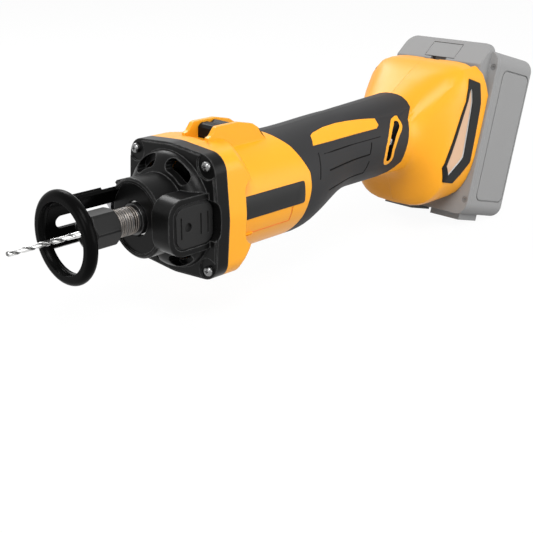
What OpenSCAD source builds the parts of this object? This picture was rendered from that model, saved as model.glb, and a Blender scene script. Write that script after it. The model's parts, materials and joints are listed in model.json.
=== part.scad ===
// Cordless drywall cut out tool with an adjustable guide foot, a straight rubber grip and a slide-on battery pack.
// Lengths are in mm. The spindle lies on the X axis, the foot's face is at X = 0, +X runs to the rear and +Z is up.

/* [Fits] */
// Gap between pieces that move past each other
clear = 0.3; // [0.2:0.05:0.5]
// Running gap of a turning or sliding fit, on the radius
run_gap = 0.05; // [0.02:0.01:0.1]
// How far a cut runs past the face that it opens
over = 1; // [0.5:0.5:2]

/* [Guide foot] */
// Outer diameter of the foot ring
foot_d = 46; // [44:0.5:60]
// Opening of the foot ring
foot_opening_d = 35.5; // [35:0.5:36]
// Thickness of the foot ring
foot_t = 6; // [4:0.5:8]
// Thickness of the foot's arm
arm_t = 2.4; // [1.6:0.1:2.6]
// Distance from the foot's face to the end of the arm
arm_reach = 60; // [58:0.5:61]
// Angle of the arm's middle above the level line
arm_angle = 5; // [0:1:10]
// Angle that the arm covers
arm_span = 74; // [50:2:78]
// Width of the arm's adjusting slot
arm_slot_w = 6.4; // [5.6:0.2:8]
// Start of the adjusting slot behind the foot's face
arm_slot_x = 10; // [8:0.5:16]
// Web left behind the adjusting slot
arm_slot_tail = 2; // [2:0.5:4]
// Height of the ribs along the arm's edges
arm_rib_h = 1.4; // [0.6:0.1:1.8]
// Angle that each rib covers
arm_rib_span = 6; // [3:1:10]
// Length of the ribs behind the ring
arm_rib_l = 30; // [10:1:32]
// Diameter of the clamp screw
clamp_d = 5; // [4:0.5:5]
// Place of the clamp screw along the axis
clamp_x = 50; // [48.5:0.5:51]
// Width across flats of the clamp screw's head
clamp_af = 8; // [7:0.5:10]
// Height of the clamp screw's head
clamp_head_h = 3.5; // [2.5:0.5:5]
// Diameter of the clamp screw's washer face
clamp_washer_d = 11; // [9:0.5:14]
// Thickness of the clamp screw's washer face
clamp_washer_t = 1.2; // [0.8:0.2:2]

/* [Bit and collet] */
// Diameter of the cutting bit
bit_d = 3.175; // [3:0.025:4]
// Length of the cutting bit
bit_l = 63.5; // [58:0.5:64]
// Reach of the bit in front of the foot's face
bit_out = 28; // [20:0.5:30]
// Length of the bit's spiral flutes
flute_l = 38; // [20:1:40]
// Turns of the spiral over its length
flute_turns = 3; // [1:0.5:5]
// Core of the bit between its flutes, as a share of its diameter
bit_core_share = 0.55; // [0.4:0.05:0.8]
// Width across flats of the collet nut
nut_af = 17; // [16.5:0.5:19]
// Length of the collet nut
nut_l = 15; // [12:0.5:16]
// Front of the collet nut behind the foot's face
nut_x = 14; // [12:0.5:15]
// Diameter of the collet
collet_d = 10; // [8:0.5:10.5]
// Length of the collet
collet_l = 20; // [15:1:21]
// Width of the slits in the collet
collet_slit = 0.6; // [0.4:0.1:1]

/* [Spindle] */
// Thread diameter of the spindle nose
thread_d = 14; // [13.5:0.5:14.5]
// Pitch of the spindle nose's thread
thread_pitch = 1; // [0.8:0.1:1.5]
// Rear end of the spindle nose's thread
thread_end = 38; // [35:0.5:40]
// Diameter of the spindle in the front bearing
journal_d = 12; // [11:0.5:12]
// Diameter of the spindle behind the lock collar
shaft_d = 10; // [9:0.5:10]
// Diameter of the spindle in the rear bearing
tail_d = 8; // [7:0.5:8]
// Outer diameter of the front bearing
front_bearing_d = 24; // [22:1:24]
// Width of the front bearing
front_bearing_w = 6; // [5:0.5:6]
// Front face of the front bearing
front_bearing_x = 45.5; // [45.5:0.5:46]
// Outer diameter of the rear bearing
rear_bearing_d = 22; // [19:1:22]
// Width of the rear bearing
rear_bearing_w = 7; // [6:0.5:7]
// Front face of the rear bearing
rear_bearing_x = 115.6; // [115:0.2:116]
// Diameter of the lock collar
collar_d = 22; // [20:0.5:22]
// Front face of the lock collar
collar_x = 53.5; // [53.5:0.5:54]
// Length of the lock collar
collar_l = 7; // [6.5:0.5:7]
// Depth of the lock collar's notches
notch_depth = 3.2; // [3.2:0.1:4]
// Number of notches in the lock collar
notches = 4; // [4:4:8]

/* [Motor] */
// Gap between the fan and the barrel's inside
fan_gap = 2.6; // [1.6:0.2:6]
// Length of the fan
fan_l = 7; // [5:0.5:7]
// Front of the fan
fan_x = 80; // [79.5:0.5:80.5]
// Number of fan blades
fan_blades = 11; // [7:1:17]
// Gap between the stator and the barrel's inside
stator_gap = 4.6; // [4.6:0.2:6]
// Length of the stator's core
stator_l = 16; // [12:1:16]
// Front of the stator's core
stator_x = 93; // [92.5:0.5:94]
// Rotor's share of the stator's diameter
rotor_share = 0.52; // [0.46:0.01:0.52]
// Air gap between rotor and stator
air_gap = 0.6; // [0.4:0.1:1]
// Number of stator teeth
teeth = 6; // [6:3:12]
// Tooth's share of the stator's diameter
tooth_share = 0.11; // [0.07:0.01:0.115]
// Height of the windings past the core's ends
end_turn = 4; // [2:0.5:4.5]

/* [Front cover] */
// Diameter of the nose
nose_d = 40.6; // [40.2:0.2:42]
// Front of the nose
nose_x = 43.3; // [42.5:0.1:43.5]
// Length of the nose's straight part
nose_l = 13.7; // [12:0.1:14]
// Diameter of the vented dome behind the nose
dome_d = 61; // [60:0.5:62]
// Where the dome leaves the nose
dome_x = 59.5; // [59:0.1:60]
// Depth of the arm's way into the dome
dome_edge = 5; // [4.5:0.5:5.5]
// Width of the square flange
flange_w = 64.6; // [63:0.2:66]
// Corner radius of the flange
flange_corner = 10; // [8:0.5:11]
// Diameter that the flange's sides bulge to
flange_bulge_d = 68; // [64:0.5:70]
// Front face of the flange
flange_x = 68; // [67:0.5:68.5]
// Thickness of the flange
flange_l = 7.5; // [7:0.5:8.5]
// Spacing of the cover screws
cover_screw_pitch = 53.4; // [52:0.2:54]
// Diameter of the cover screws
cover_screw_d = 4; // [3:0.5:4]
// Head diameter of the cover screws
cover_head_d = 6.6; // [6:0.2:7]
// Head height of the cover screws
cover_head_h = 2.4; // [1.5:0.1:3]
// Length of the cover screws below the head
cover_screw_l = 16; // [14:1:17]
// Wall of the cover
cover_wall = 2.4; // [2:0.1:2.6]
// Width of the dome's vents
vent_w = 6.4; // [4:0.2:6.6]
// Distance of the vents' middle from the axis
vent_r = 26; // [25.5:0.1:26.4]
// Angle between the ends of a vent
vent_span = 24; // [20:2:26]

/* [Spindle lock] */
// Length of the lock button along the axis
lock_w = 25; // [20:0.5:25]
// Height of the lock button
lock_h = 22; // [18:0.5:23]
// Corner radius of the lock button
lock_r = 6; // [3:0.5:7]
// Middle of the lock button along the axis
lock_x = 57; // [56.8:0.1:57.2]
// Distance of the button's face from the axis
lock_face = 29; // [28.5:0.5:30]
// Thickness of the lock button
lock_t = 5; // [4:0.5:5.5]
// Travel of the lock button
lock_travel = 3; // [2:0.5:3]
// Wall of the boss round the button
bezel_wall = 3.4; // [2.5:0.1:4]
// Diameter of the lock pin
pin_d = 4.8; // [4:0.2:5]
// Diameter of the button's spring
spring_d = 8; // [7.4:0.2:8.4]
// Wire of the springs
spring_wire = 0.8; // [0.6:0.1:0.9]

/* [Motor housing] */
// Diameter of the barrel
barrel_d = 59.2; // [58.6:0.2:60]
// Wall of the barrel
barrel_wall = 3; // [2.5:0.1:3.2]
// Length of the housing's square block
block_l = 15; // [13:0.5:16]
// Length of the towers round the cover screws
tower_l = 22.5; // [20:0.5:24]
// Share of the block and the towers that is straight
straight_share = 0.3; // [0.2:0.05:0.4]
// Rear end of the motor bay
bay_end = 124; // [124:0.5:125]
// Step from the barrel down to the spigot that carries the handle
spigot_step = 4.2; // [4.1:0.1:4.8]
// Rear end of the spigot
spigot_end = 147; // [145:0.5:149]
// Wall of the spigot
spigot_wall = 2.6; // [2:0.2:3]
// Where the housing's rear edge starts at its top
edge_x = 126; // [126:0.5:127]
// How far the rear edge bulges to the rear
edge_bulge = 14.5; // [10:0.5:15]

/* [Switch] */
// Front of the switch guard
guard_x = 84; // [83:0.5:86]
// Length of the switch guard
guard_l = 41; // [40:0.5:42]
// Height of the switch guard over the barrel
guard_h = 11; // [8:0.5:12]
// Thickness of each guard fin
fin_t = 2.7; // [2:0.1:4]
// Width of the slider
slider_w = 14; // [12:0.5:15]
// Length of the slider
slider_l = 30; // [28:0.5:30]
// Front of the slider when off
slider_x = 92.5; // [92.5:0.1:92.8]
// Height of the slider
slider_h = 8.2; // [7.6:0.1:8.6]
// Travel of the slider
slider_travel = 6; // [4:0.5:6]
// Height of the channel's floor over the barrel
channel_rise = 1.6; // [1:0.1:2]
// Width of the slider's lug and of its rod
rod_w = 5; // [4:0.5:5]
// Thickness of the rod
rod_t = 1.6; // [1.2:0.1:1.8]
// Rear end of the rod
rod_end = 178.5; // [178:0.5:179]
// Length of the switch module
module_l = 18; // [15:0.5:18]
// Width of the switch module
module_w = 16; // [12:0.5:18]
// Height of the switch module
module_h = 10; // [8:0.5:11]

/* [Handle] */
// Diameter of the grip
grip_d = 46; // [44:0.5:48]
// Rise of the grip's middle over the spindle axis
grip_rise = 9; // [8:0.5:10]
// Thickness of the rubber
grip_skin = 1.8; // [1.2:0.1:2]
// Wall of the shells under the rubber
shell_wall = 2.5; // [2:0.1:2.6]
// Where the barrel starts to narrow to the grip
belly_x = 140; // [138:1:142]
// Length over which the barrel narrows to the grip
belly_l = 50; // [40:1:55]
// Rear edge of the grip where it meets the receiver
grip_end = 239; // [236:0.5:240]
// How far that rear edge sweeps forward
grip_sweep = 27; // [20:1:30]
// Seam between the housing's edge and the grip
seam = 0.2; // [0.1:0.05:0.4]
// Width of the grooves in the grip
groove_w = 0.9; // [0.6:0.1:1.4]
// Depth of the grooves in the grip
groove_depth = 0.7; // [0.3:0.1:1]
// Length of the strip that shows through the grip
strip_l = 60; // [50:1:60]
// Height of that strip
strip_h = 8; // [6:0.2:8]
// Length of the handle's side vent
race_l = 27; // [22:0.5:28]
// Width of the handle's side vent with its rim
race_w = 9; // [7:0.5:9.5]
// Rim of the handle's side vent
race_rim = 2.4; // [1.8:0.1:3]
// Diameter of the shell screws
shell_screw_d = 3.6; // [3:0.2:4]
// Head diameter of the shell screws
shell_head_d = 7; // [6:0.2:7.2]
// Head height of the shell screws
shell_head_h = 2.6; // [2:0.2:3]
// Diameter of the screw bosses
shell_boss_d = 8; // [7.4:0.2:9]

/* [Receiver] */
// Lean of the receiver and the pack to the rear
tilt = 15; // [12:1:16]
// Width of the receiver
receiver_w = 72; // [70:0.5:73]
// Height of the receiver
receiver_h = 87; // [86:0.5:90]
// Rear face of the receiver on its lean line
receiver_x = 290; // [289:0.5:291]
// Height of that place over the spindle axis
receiver_z = 5; // [4:0.5:6]
// Rise of the receiver's middle over the spindle axis
receiver_rise = 6.5; // [5:0.5:7]
// Where the grip starts to flare to the receiver
flare_x = 238; // [236:0.5:239]
// Length of the flare
flare_l = 27; // [25:0.5:28]
// Squareness of the receiver's outline
receiver_power = 3.2; // [3:0.1:3.4]
// Depth of the receiver's battery bay
bay_depth = 16; // [15.5:0.5:16.5]
// Width of the battery bay
bay_w = 52.6; // [52:0.2:53]
// Wall in front of the battery bay
bulkhead = 4; // [3:0.5:4.5]
// Depth of the rails' grip into the bay
rail_depth = 5.3; // [4:0.1:5.5]
// Thickness of the rails
rail_t = 4; // [3:0.5:4.5]
// Length of the rails
rail_l = 58; // [50:1:60]
// Floor of the battery bay under the lean line
bay_floor = 38.3; // [38:0.1:38.5]
// Height of the side bumpers
bumper_h = 60; // [54:1:61]
// Width of the side bumpers
bumper_w = 27; // [24:0.5:27.5]
// Depth of the side bumpers in the shell
bumper_t = 2.5; // [2:0.1:2.8]
// How far the bumpers stand proud
bumper_proud = 0.5; // [0.3:0.1:0.8]

/* [Battery pack] */
// Width of the pack
pack_w = 75; // [74:0.5:77]
// Height of the pack's body
pack_h = 104; // [103:0.5:106]
// Lower end of the pack under the lean line
pack_low = 50; // [49:0.5:51]
// Depth of the pack's main case
pack_l = 43; // [42.5:0.5:46]
// Corner radius of the pack
pack_r = 8; // [6:0.5:10]
// Edge taper of the pack's rear face
pack_edge = 5; // [3:0.5:6]
// Wall of the pack's cases
pack_wall = 2.4; // [2:0.1:2.4]
// Seam of the pack's cases behind the receiver's face
pack_split = 4; // [3.5:0.5:5]
// Diameter of a cell
cell_d = 18.3; // [18:0.1:18.4]
// Length of a cell
cell_l = 65; // [64:0.5:66]
// Layers of cells
cell_layers = 2; // [1:1:2]
// Top of the pack's latch block over the lean line
latch_top = 58; // [57:0.5:59]
// Width of the latch block
latch_block_w = 64; // [60:1:66]
// Width of the latch button
latch_w = 22; // [18:0.5:24]
// Travel of the latch button
latch_travel = 3; // [2:0.5:3]
// Corner radius of the latch block
latch_block_r = 6; // [3:0.5:8]
// Diameter of the pack's screws
pack_screw_d = 2.4; // [2:0.1:2.5]
// Diameter of their heads
pack_head_d = 4; // [3.6:0.1:4.2]
// Height of their heads
pack_head_h = 1.4; // [1.2:0.1:1.6]
// Length of their threads in the rear case
pack_screw_l = 16; // [12:1:20]
// Thickness of the terminal blades
blade_t = 0.8; // [0.6:0.1:1]
// Spacing of the terminal blades
blade_pitch = 10; // [9:0.5:10.5]
// Height of the pack's feet
pack_foot_h = 4; // [2:0.5:5]
// Width of the pack's feet
pack_foot_w = 22; // [16:1:24]

/* [Hidden] */
$fn = 64;

yellow = "#f6b335";
black = "#1c1c1e";
rubber = "#3a3a3c";
pad_grey = "#505054";
steel = "#c9ccd0";
dark_steel = "#3f4145";
copper = "#b8733a";
board_green = "#2e5d3a";
beige = "#dcb592";
pack_grey = "#9d9d9d";
brass = "#c9a24a";
cell_blue = "#4c6f9c";

foot_r = foot_d / 2;
arm_r = foot_opening_d / 2;
nose_r = nose_d / 2;
dome_r = dome_d / 2;
barrel_r = barrel_d / 2;
bay_r = barrel_r - barrel_wall;
spigot_d = barrel_d - 2 * spigot_step;
fan_d = 2 * (bay_r - fan_gap);
stator_d = 2 * (bay_r - stator_gap);
rotor_d = stator_d * rotor_share;
tooth_w = stator_d * tooth_share;
spigot_r = spigot_d / 2;
grip_r = grip_d / 2;
flange_end = flange_x + flange_l;
block_end = flange_end + block_l;
belly_end = belly_x + belly_l;
flare_end = flare_x + flare_l;
nose_end = nose_x + nose_l;
front_bearing_end = front_bearing_x + front_bearing_w;
stator_end = stator_x + stator_l;
nut_end = nut_x + nut_l;
spindle_front = nut_x + nut_l / 3;
lock_floor = lock_face - lock_t - lock_travel - clear;
bezel_face = lock_face - 2 * clear;
channel_z = barrel_r + channel_rise;
rod_z = stator_d / 2 + 2 * clear;
screw_at = cover_screw_pitch / 2;
lug_l = slider_l / 6;
lug_x = slider_x + slider_l / 3;
module_x = rod_end - rod_t - slider_travel - over - module_l;
module_z = rod_z - 2 * clear - module_h;
strip_x = belly_x + belly_l / 5;
strip_z = grip_rise + grip_r / 2;
race_x = grip_end - race_w * 7 / 3;
race_z = grip_rise + race_w / 3;
vent_screw_d = shell_screw_d * 0.7;
vent_head_d = race_w - 2 * race_rim - clear;
vent_head_y = grip_r * 0.72;
shell_pilot = 10;
board_l = 44;
board_w = 30;
board_t = 1.6;
board_x = module_x + module_w / 2;
board_z = grip_rise - grip_r / 3;
bumper_rear = 3;
rail_setback = 2;
receiver_point = receiver_h * 0.285;
chin_l = bay_depth + over;
terminal_w = bay_w * 0.76;
terminal_h = 4.6;
terminal_l = bay_depth * 0.7;
blade_w = 6;
blade_l = 18;
contact_w = 4 * blade_t;
latch_low = 44;
latch_reach = 10;
latch_slope_x = 1;
latch_t = 3;
latch_stem_x = -latch_reach / 2;
catch_z = receiver_point;
catch_depth = 2;
pack_screw_y = (cell_l + pack_w) / 4;
pack_screw_z = [-pack_low + pack_r + pack_head_d / 2, pack_h - pack_low - pack_r - pack_head_d / 2];
latch_rear = pack_split - over - latch_travel - clear;
chin_slope = (receiver_h / 2 - receiver_point) / chin_l;
cell_x = pack_split + pack_wall + cell_d / 2;
cells = floor((pack_h - 2 * pack_wall - clear) / (cell_d + 2 * clear));
groove_slant = 4;
groove_x_shares = [0.03, 0.12, 0.82];
groove_z_shares = [0.38, 0.26, -0.02, -0.2, -0.5];

// Shares along the guard and the slider, from front to rear, and of their heights
guard_x_shares = [0, 0, 0.06, 0.146, 0.18, 0.56, 0.83, 0.94, 1, 1];
guard_z_shares = [-0.36, 0.46, 0.58, 0.96, 1, 1, 0.78, 0.52, 0.17, -0.36];
slider_x_shares = [0, 0, 0.05, 0.1, 0.24, 0.28, 0.43, 0.74, 1, 1];
slider_z_shares = [0, 0.7, 0.88, 0.95, 0.95, 0.8, 1, 0.62, 0.2, 0];
// Side view of the housing's rear edge: shares of the bulge, and of the barrel's radius
edge_x_shares = [0, 0.28, 0.62, 1, 0.97, 0.76, 0.28];
edge_z_shares = [1.4, 1, 0.8, 0.34, 0.07, -0.47, -1.2];
// Side view of the grip's rear edge: shares of its sweep, and of the grip's radius about its middle
end_x_shares = [0.6, 0.48, 0, 0, 0.63, 1, 1.2];
end_z_shares = [1.5, 1.08, 0.63, 0.35, -0.78, -1.09, -1.5];
// Side view of the strip: shares of its length and height
strip_x_shares = [0.012, 0.07, 0.12, 0.29, 0.46, 0.62, 0.82, 0.99, 1, 0.955, 0.5];
strip_z_shares = [0.09, 0.62, 0.74, 0.9, 0.96, 0.94, 0.86, 0.73, 0.3, 0.125, 0.1];
// Side bumper and its opening: shares of the bumper's width from its rear, and of its height
bumper_x_shares = [0.74, 0.32, 0.15, 0.05, 0.47, 0.88, 1];
bumper_z_shares = [1, 1, 0.84, 0.24, 0, 0, 0.14];
insert_x_shares = [0.68, 0.61, 0.5, 0.38, 0.79, 0.93];
insert_z_shares = [0.92, 0.94, 0.83, 0.28, 0.07, 0.17];
// Middle line of the vent in the grip, low end first: shares of its length about its middle
race_x_shares = [-0.074, -0.076, -0.06, 0, 0.08, 0.17, 0.289];
race_z_shares = [-0.34, -0.22, -0.12, 0, 0.13, 0.23, 0.33];

function ease(s) = s <= 0 ? 0 : s >= 1 ? 1 : s * s * (3 - 2 * s);
function blend(a, b, x0, l, x) = a + (b - a) * ease((x - x0) / l);
function signed_pow(v, p) = sign(v) * pow(abs(v), p);
// Form of the handle and receiver at a place along the axis
function half_w(x) = x < flare_x ? blend(barrel_r, grip_r, belly_x, belly_l, x) : blend(grip_r, receiver_w / 2, flare_x, flare_l, x);
function half_h(x) = x < flare_x ? blend(barrel_r, grip_r, belly_x, belly_l, x) : blend(grip_r, receiver_h / 2, flare_x, flare_l, x);
function middle_z(x) = x < flare_x ? blend(0, grip_rise, belly_x, belly_l, x) : blend(grip_rise, receiver_rise, flare_x, flare_l, x);
function power(x) = blend(2, receiver_power, flare_x, flare_l, x);
function lean(x) = tan(tilt) * ease((x - flare_x) / flare_l);

arc_steps = 18;
belly_steps = 9;
flare_steps = 9;
loft_front = edge_x - 2 * over;
// Stations of the loft: closer together where the form changes
form_steps = concat([for (i = [0 : belly_steps]) belly_x + belly_l * i / belly_steps], [for (i = [0 : flare_steps]) flare_x + flare_l * i / flare_steps]);
function stations(front, rear) = concat([front], [for (x = form_steps) if (x > front && x < rear) x], [rear]);
function section(x, inset) = [for (i = [0 : arc_steps]) let (
    a = 90 - 180 * i / arc_steps, p = 2 / power(x),
    y = -(half_w(x) - inset) * signed_pow(cos(a), p),
    z = middle_z(x) + (half_h(x) - inset) * signed_pow(sin(a), p)) [x + lean(x) * (z - receiver_z), y, z]];
// A section that closes past the middle plane, for cutting
function open_section(x, inset) = let (s = section(x, inset), n = len(s) - 1)
    concat([s[0] + [0, over, 0]], s, [s[n] + [0, over, 0]]);

module along_x() { rotate([90, 0, 90]) children(); }
module to_left() { rotate([90, 0, 0]) children(); }
module across(w) { translate([0, w / 2, 0]) to_left() linear_extrude(w) children(); }
module tilted() { translate([receiver_x, 0, receiver_z]) rotate([0, tilt, 0]) children(); }
module at_arm() { rotate([arm_angle, 0, 0]) children(); }
module rod_x(d, x, l) { along_x() translate([0, 0, x]) cylinder(d = d, h = l); }
module turned(points) { along_x() rotate_extrude() polygon(points); }
module rounded_rect(w, h, r) {
    square([w - 2 * r, h], center = true);
    square([w, h - 2 * r], center = true);
    for (sx = [-1, 1], sy = [-1, 1]) translate([sx * (w / 2 - r), sy * (h / 2 - r)]) circle(r);
}
module slot_shape(l, w) { square([l - w, w], center = true); for (s = [-1, 1]) translate([s * (l - w) / 2, 0]) circle(d = w); }
module arc_plate(r0, r1, x0, x1, middle, span) {
    along_x() rotate([0, 0, middle - span / 2]) rotate_extrude(angle = span) translate([r0, x0]) square([r1 - r0, x1 - x0]);
}
module at_corners() { for (sy = [-1, 1], sz = [-1, 1]) translate([0, sy * screw_at, sz * screw_at]) children(); }
module profile(x0, l, xs, z0, h, zs) { polygon([for (i = [0 : len(xs) - 1]) [x0 + l * xs[i], z0 + h * zs[i]]]); }

// Spring wound along X by a swept round wire
module coil(d, wire, l, turns) {
    sides = 6;
    steps = 14 * turns;
    r = (d - wire) / 2;
    pts = [for (i = [0 : steps], j = [0 : sides - 1]) let (a = 360 * turns * i / steps, b = 360 * j / sides, q = r + wire / 2 * cos(b))
        [wire / 2 + (l - wire) * i / steps + wire / 2 * sin(b), q * cos(a), q * sin(a)]];
    polyhedron(pts, concat([[for (j = [0 : sides - 1]) j]], [[for (j = [0 : sides - 1]) steps * sides + sides - 1 - j]],
        [for (i = [0 : steps - 1], j = [0 : sides - 1], k = [0, 1]) let (n = (j + 1) % sides, p = i * sides)
            k == 0 ? [p + j, p + sides + j, p + n] : [p + n, p + sides + j, p + sides + n]]));
}

// Left half of the handle and receiver, set in from its skin
module half_loft(inset, rear, cutting = false, front = loft_front) {
    xs = stations(front, rear);
    rings = [for (x = xs) cutting ? open_section(x, inset) : section(x, inset)];
    n = len(rings[0]);
    m = len(xs);
    polyhedron([for (r = rings) each r], concat(
        [for (i = [0 : m - 2], j = [0 : n - 2], k = [0, 1]) let (p = i * n + j)
            k == 0 ? [p, p + n, p + 1] : [p + 1, p + n, p + n + 1]],
        [[for (j = [0 : n - 1]) j]],
        [[for (j = [0 : n - 1]) m * n - 1 - j]],
        [for (i = [0 : m - 2]) [(i + 1) * n, i * n, i * n + n - 1, (i + 1) * n + n - 1]]));
}

module guide_foot() color(black) difference() {
    union() {
        along_x() rotate_extrude() {
            translate([arm_r, 0]) square([foot_r - arm_r - foot_t / 2, foot_t]);
            translate([foot_r - foot_t / 2, foot_t / 2]) circle(d = foot_t);
        }
        arc_plate(arm_r + clear, arm_r + arm_t, foot_t / 2, arm_reach, arm_angle, arm_span);
        for (s = [-1, 1])
            arc_plate(arm_r + arm_t / 2, arm_r + arm_t + arm_rib_h, foot_t / 2, foot_t + arm_rib_l,
                arm_angle + s * (arm_span - arm_rib_span * 6 / 5) / 2, arm_rib_span);
    }
    at_arm() mirror([0, 1, 0]) to_left() translate([(arm_slot_x + arm_reach - arm_slot_tail) / 2, 0, arm_r - 2 * arm_t])
        linear_extrude(4 * arm_t) slot_shape(arm_reach - arm_slot_tail - arm_slot_x, arm_slot_w);
}

module guide_clamp_screw() color(dark_steel) at_arm() translate([clamp_x, 0, 0]) rotate([-90, 0, 0]) {
    seat = arm_r + arm_t + clear;
    translate([0, 0, front_bearing_d / 2 + 4 * clear]) cylinder(d = clamp_d, h = seat - front_bearing_d / 2 - 4 * clear);
    translate([0, 0, seat]) cylinder(d = clamp_washer_d, h = clamp_washer_t);
    translate([0, 0, seat + clamp_washer_t]) cylinder(d = clamp_af / cos(30), h = clamp_head_h, $fn = 6);
}

module cutting_bit() color(steel) {
    r = bit_d / 2;
    points = 14;
    along_x() translate([0, 0, -bit_out]) linear_extrude(flute_l, twist = -360 * flute_turns, slices = 14 * flute_turns, segments = points)
        polygon([for (i = [0 : points - 1]) let (a = 360 * i / points, q = r * (bit_core_share + (1 - bit_core_share) * pow(abs(cos(a)), 3)))
            [q * cos(a), q * sin(a)]]);
    rod_x(bit_d, flute_l - bit_out, bit_l - flute_l);
}

module collet_nut() color(black) difference() {
    intersection() {
        along_x() translate([0, 0, nut_x]) cylinder(d = nut_af / cos(30), h = nut_l, $fn = 6);
        turned([[0, nut_x], [nut_af / 2 - over, nut_x], [nut_af / 2 + over, nut_x + over], [nut_af / 2 + over, nut_end - over],
            [nut_af / 2, nut_end], [0, nut_end]]);
    }
    turned([[0, nut_x - over], [collet_d / 2 + clear, nut_x - over], [collet_d / 2 + clear, nut_x + over],
        [thread_d / 2 + run_gap, spindle_front - over], [thread_d / 2 + run_gap, nut_end + over], [0, nut_end + over]]);
}

module collet() color(steel) difference() {
    front = spindle_front - 2 * over;
    turned([[bit_d / 2 + run_gap, front], [collet_d / 2 - over, front], [collet_d / 2 + over, spindle_front - clear],
        [collet_d / 2, spindle_front], [collet_d / 2, front + collet_l - over], [collet_d / 2 - over, front + collet_l],
        [bit_d / 2 + run_gap, front + collet_l]]);
    for (a = [45, 135]) rotate([a, 0, 0]) translate([front - over, -collet_d, -collet_slit / 2])
        cube([collet_l * 2 / 3, 2 * collet_d, collet_slit]);
}

module spindle() color(steel) {
    bore_end = spindle_front - 2 * over + collet_l;
    seat = front_bearing_x - run_gap;
    grooves = floor((thread_end - nut_end) / thread_pitch) - 1;
    turned(concat(
        [[collet_d / 2, spindle_front], [thread_d / 2 - over / 2, spindle_front], [thread_d / 2, spindle_front + over / 2]],
        [for (i = [0 : grooves - 1], k = [0 : 1]) [thread_d / 2 - k * thread_pitch / 2, nut_end + thread_pitch * (i + 1 + k / 2)]],
        [[thread_d / 2, thread_end], [thread_d / 2 - thread_pitch, thread_end], [thread_d / 2 - thread_pitch, nose_x - over], [thread_d / 2 + over, nose_x - over],
        [thread_d / 2 + over, seat], [journal_d / 2, seat], [journal_d / 2, collar_x + collar_l], [shaft_d / 2, collar_x + collar_l],
        [shaft_d / 2, rear_bearing_x - over], [tail_d / 2, rear_bearing_x - over], [tail_d / 2, rear_bearing_x + rear_bearing_w],
        [0, rear_bearing_x + rear_bearing_w], [0, bore_end], [collet_d / 2, bore_end]]));
}

module lock_collar() color(dark_steel) difference() {
    rod_x(collar_d, collar_x, collar_l);
    rod_x(journal_d, collar_x - over, collar_l + 2 * over);
    for (i = [0 : notches - 1]) rotate([360 * i / notches, 0, 0])
        translate([collar_x - over, collar_d / 2 - notch_depth, -pin_d / 2 - clear]) cube([collar_l + 2 * over, collar_d, pin_d + 2 * clear]);
}

module fan() color(black) {
    plate = fan_l / 5;
    hub_d = shaft_d + 4 * plate;
    difference() {
        union() {
            rod_x(hub_d, fan_x, fan_l);
            rod_x(fan_d, fan_x + fan_l - plate, plate);
            for (i = [0 : fan_blades - 1]) rotate([360 * i / fan_blades, 0, 0]) translate([0, hub_d / 2 - plate, 0])
                rotate([-25, 0, 0]) translate([fan_x, 0, -plate / 2]) cube([fan_l - plate / 2, (fan_d - hub_d) / 2 - plate, plate]);
        }
        rod_x(shaft_d, fan_x - over, fan_l + 2 * over);
    }
}

module rotor() color(dark_steel) difference() {
    union() {
        rod_x(rotor_d, stator_x, stator_l);
        for (x = [stator_x - over, stator_end]) rod_x(rotor_d - 4 * over, x, over);
    }
    rod_x(shaft_d, stator_x - 2 * over, stator_l + 4 * over);
}

// Outline of the flange: its sides bow out between round corners
corner_steps = 8;
corner_at = norm([flange_w / 2 - flange_corner, flange_w / 2 - flange_corner]);
corner_reach = acos((flange_bulge_d / 2 - flange_corner) / corner_at);
function polar(r, a) = r * [cos(a), sin(a)];
function corner_arc(r, reach) = [for (i = [0 : corner_steps]) polar(corner_at, 45) + polar(r, 45 + reach * (2 * i / corner_steps - 1))];
module cover_outline(inset = 0) {
    side = concat(corner_arc(flange_corner - inset, corner_reach), [for (a = [45 + corner_reach, 90, 135 - corner_reach]) polar(flange_bulge_d / 2 - inset, a)]);
    polygon([for (q = [0 : 3], p = side) q == 0 ? p : q == 1 ? [-p[1], p[0]] : q == 2 ? -p : [p[1], -p[0]]]);
}

vent_angles = [62, 118, 242, 298];
module vent_shape(a) {
    half = vent_span / 2;
    polygon(concat(
        [for (i = [-1 : 1 / 3 : 1]) polar(vent_r + vent_w / 2, a + half * i)],
        [for (b = [30 : 30 : 150]) polar(vent_r, a + half) + polar(vent_w / 2, a + half + b)],
        [for (i = [-1 : 1 / 3 : 1]) polar(vent_r - vent_w / 2, a - half * i)],
        [for (b = [210 : 30 : 330]) polar(vent_r, a - half) + polar(vent_w / 2, a - half + b)]));
}

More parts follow.
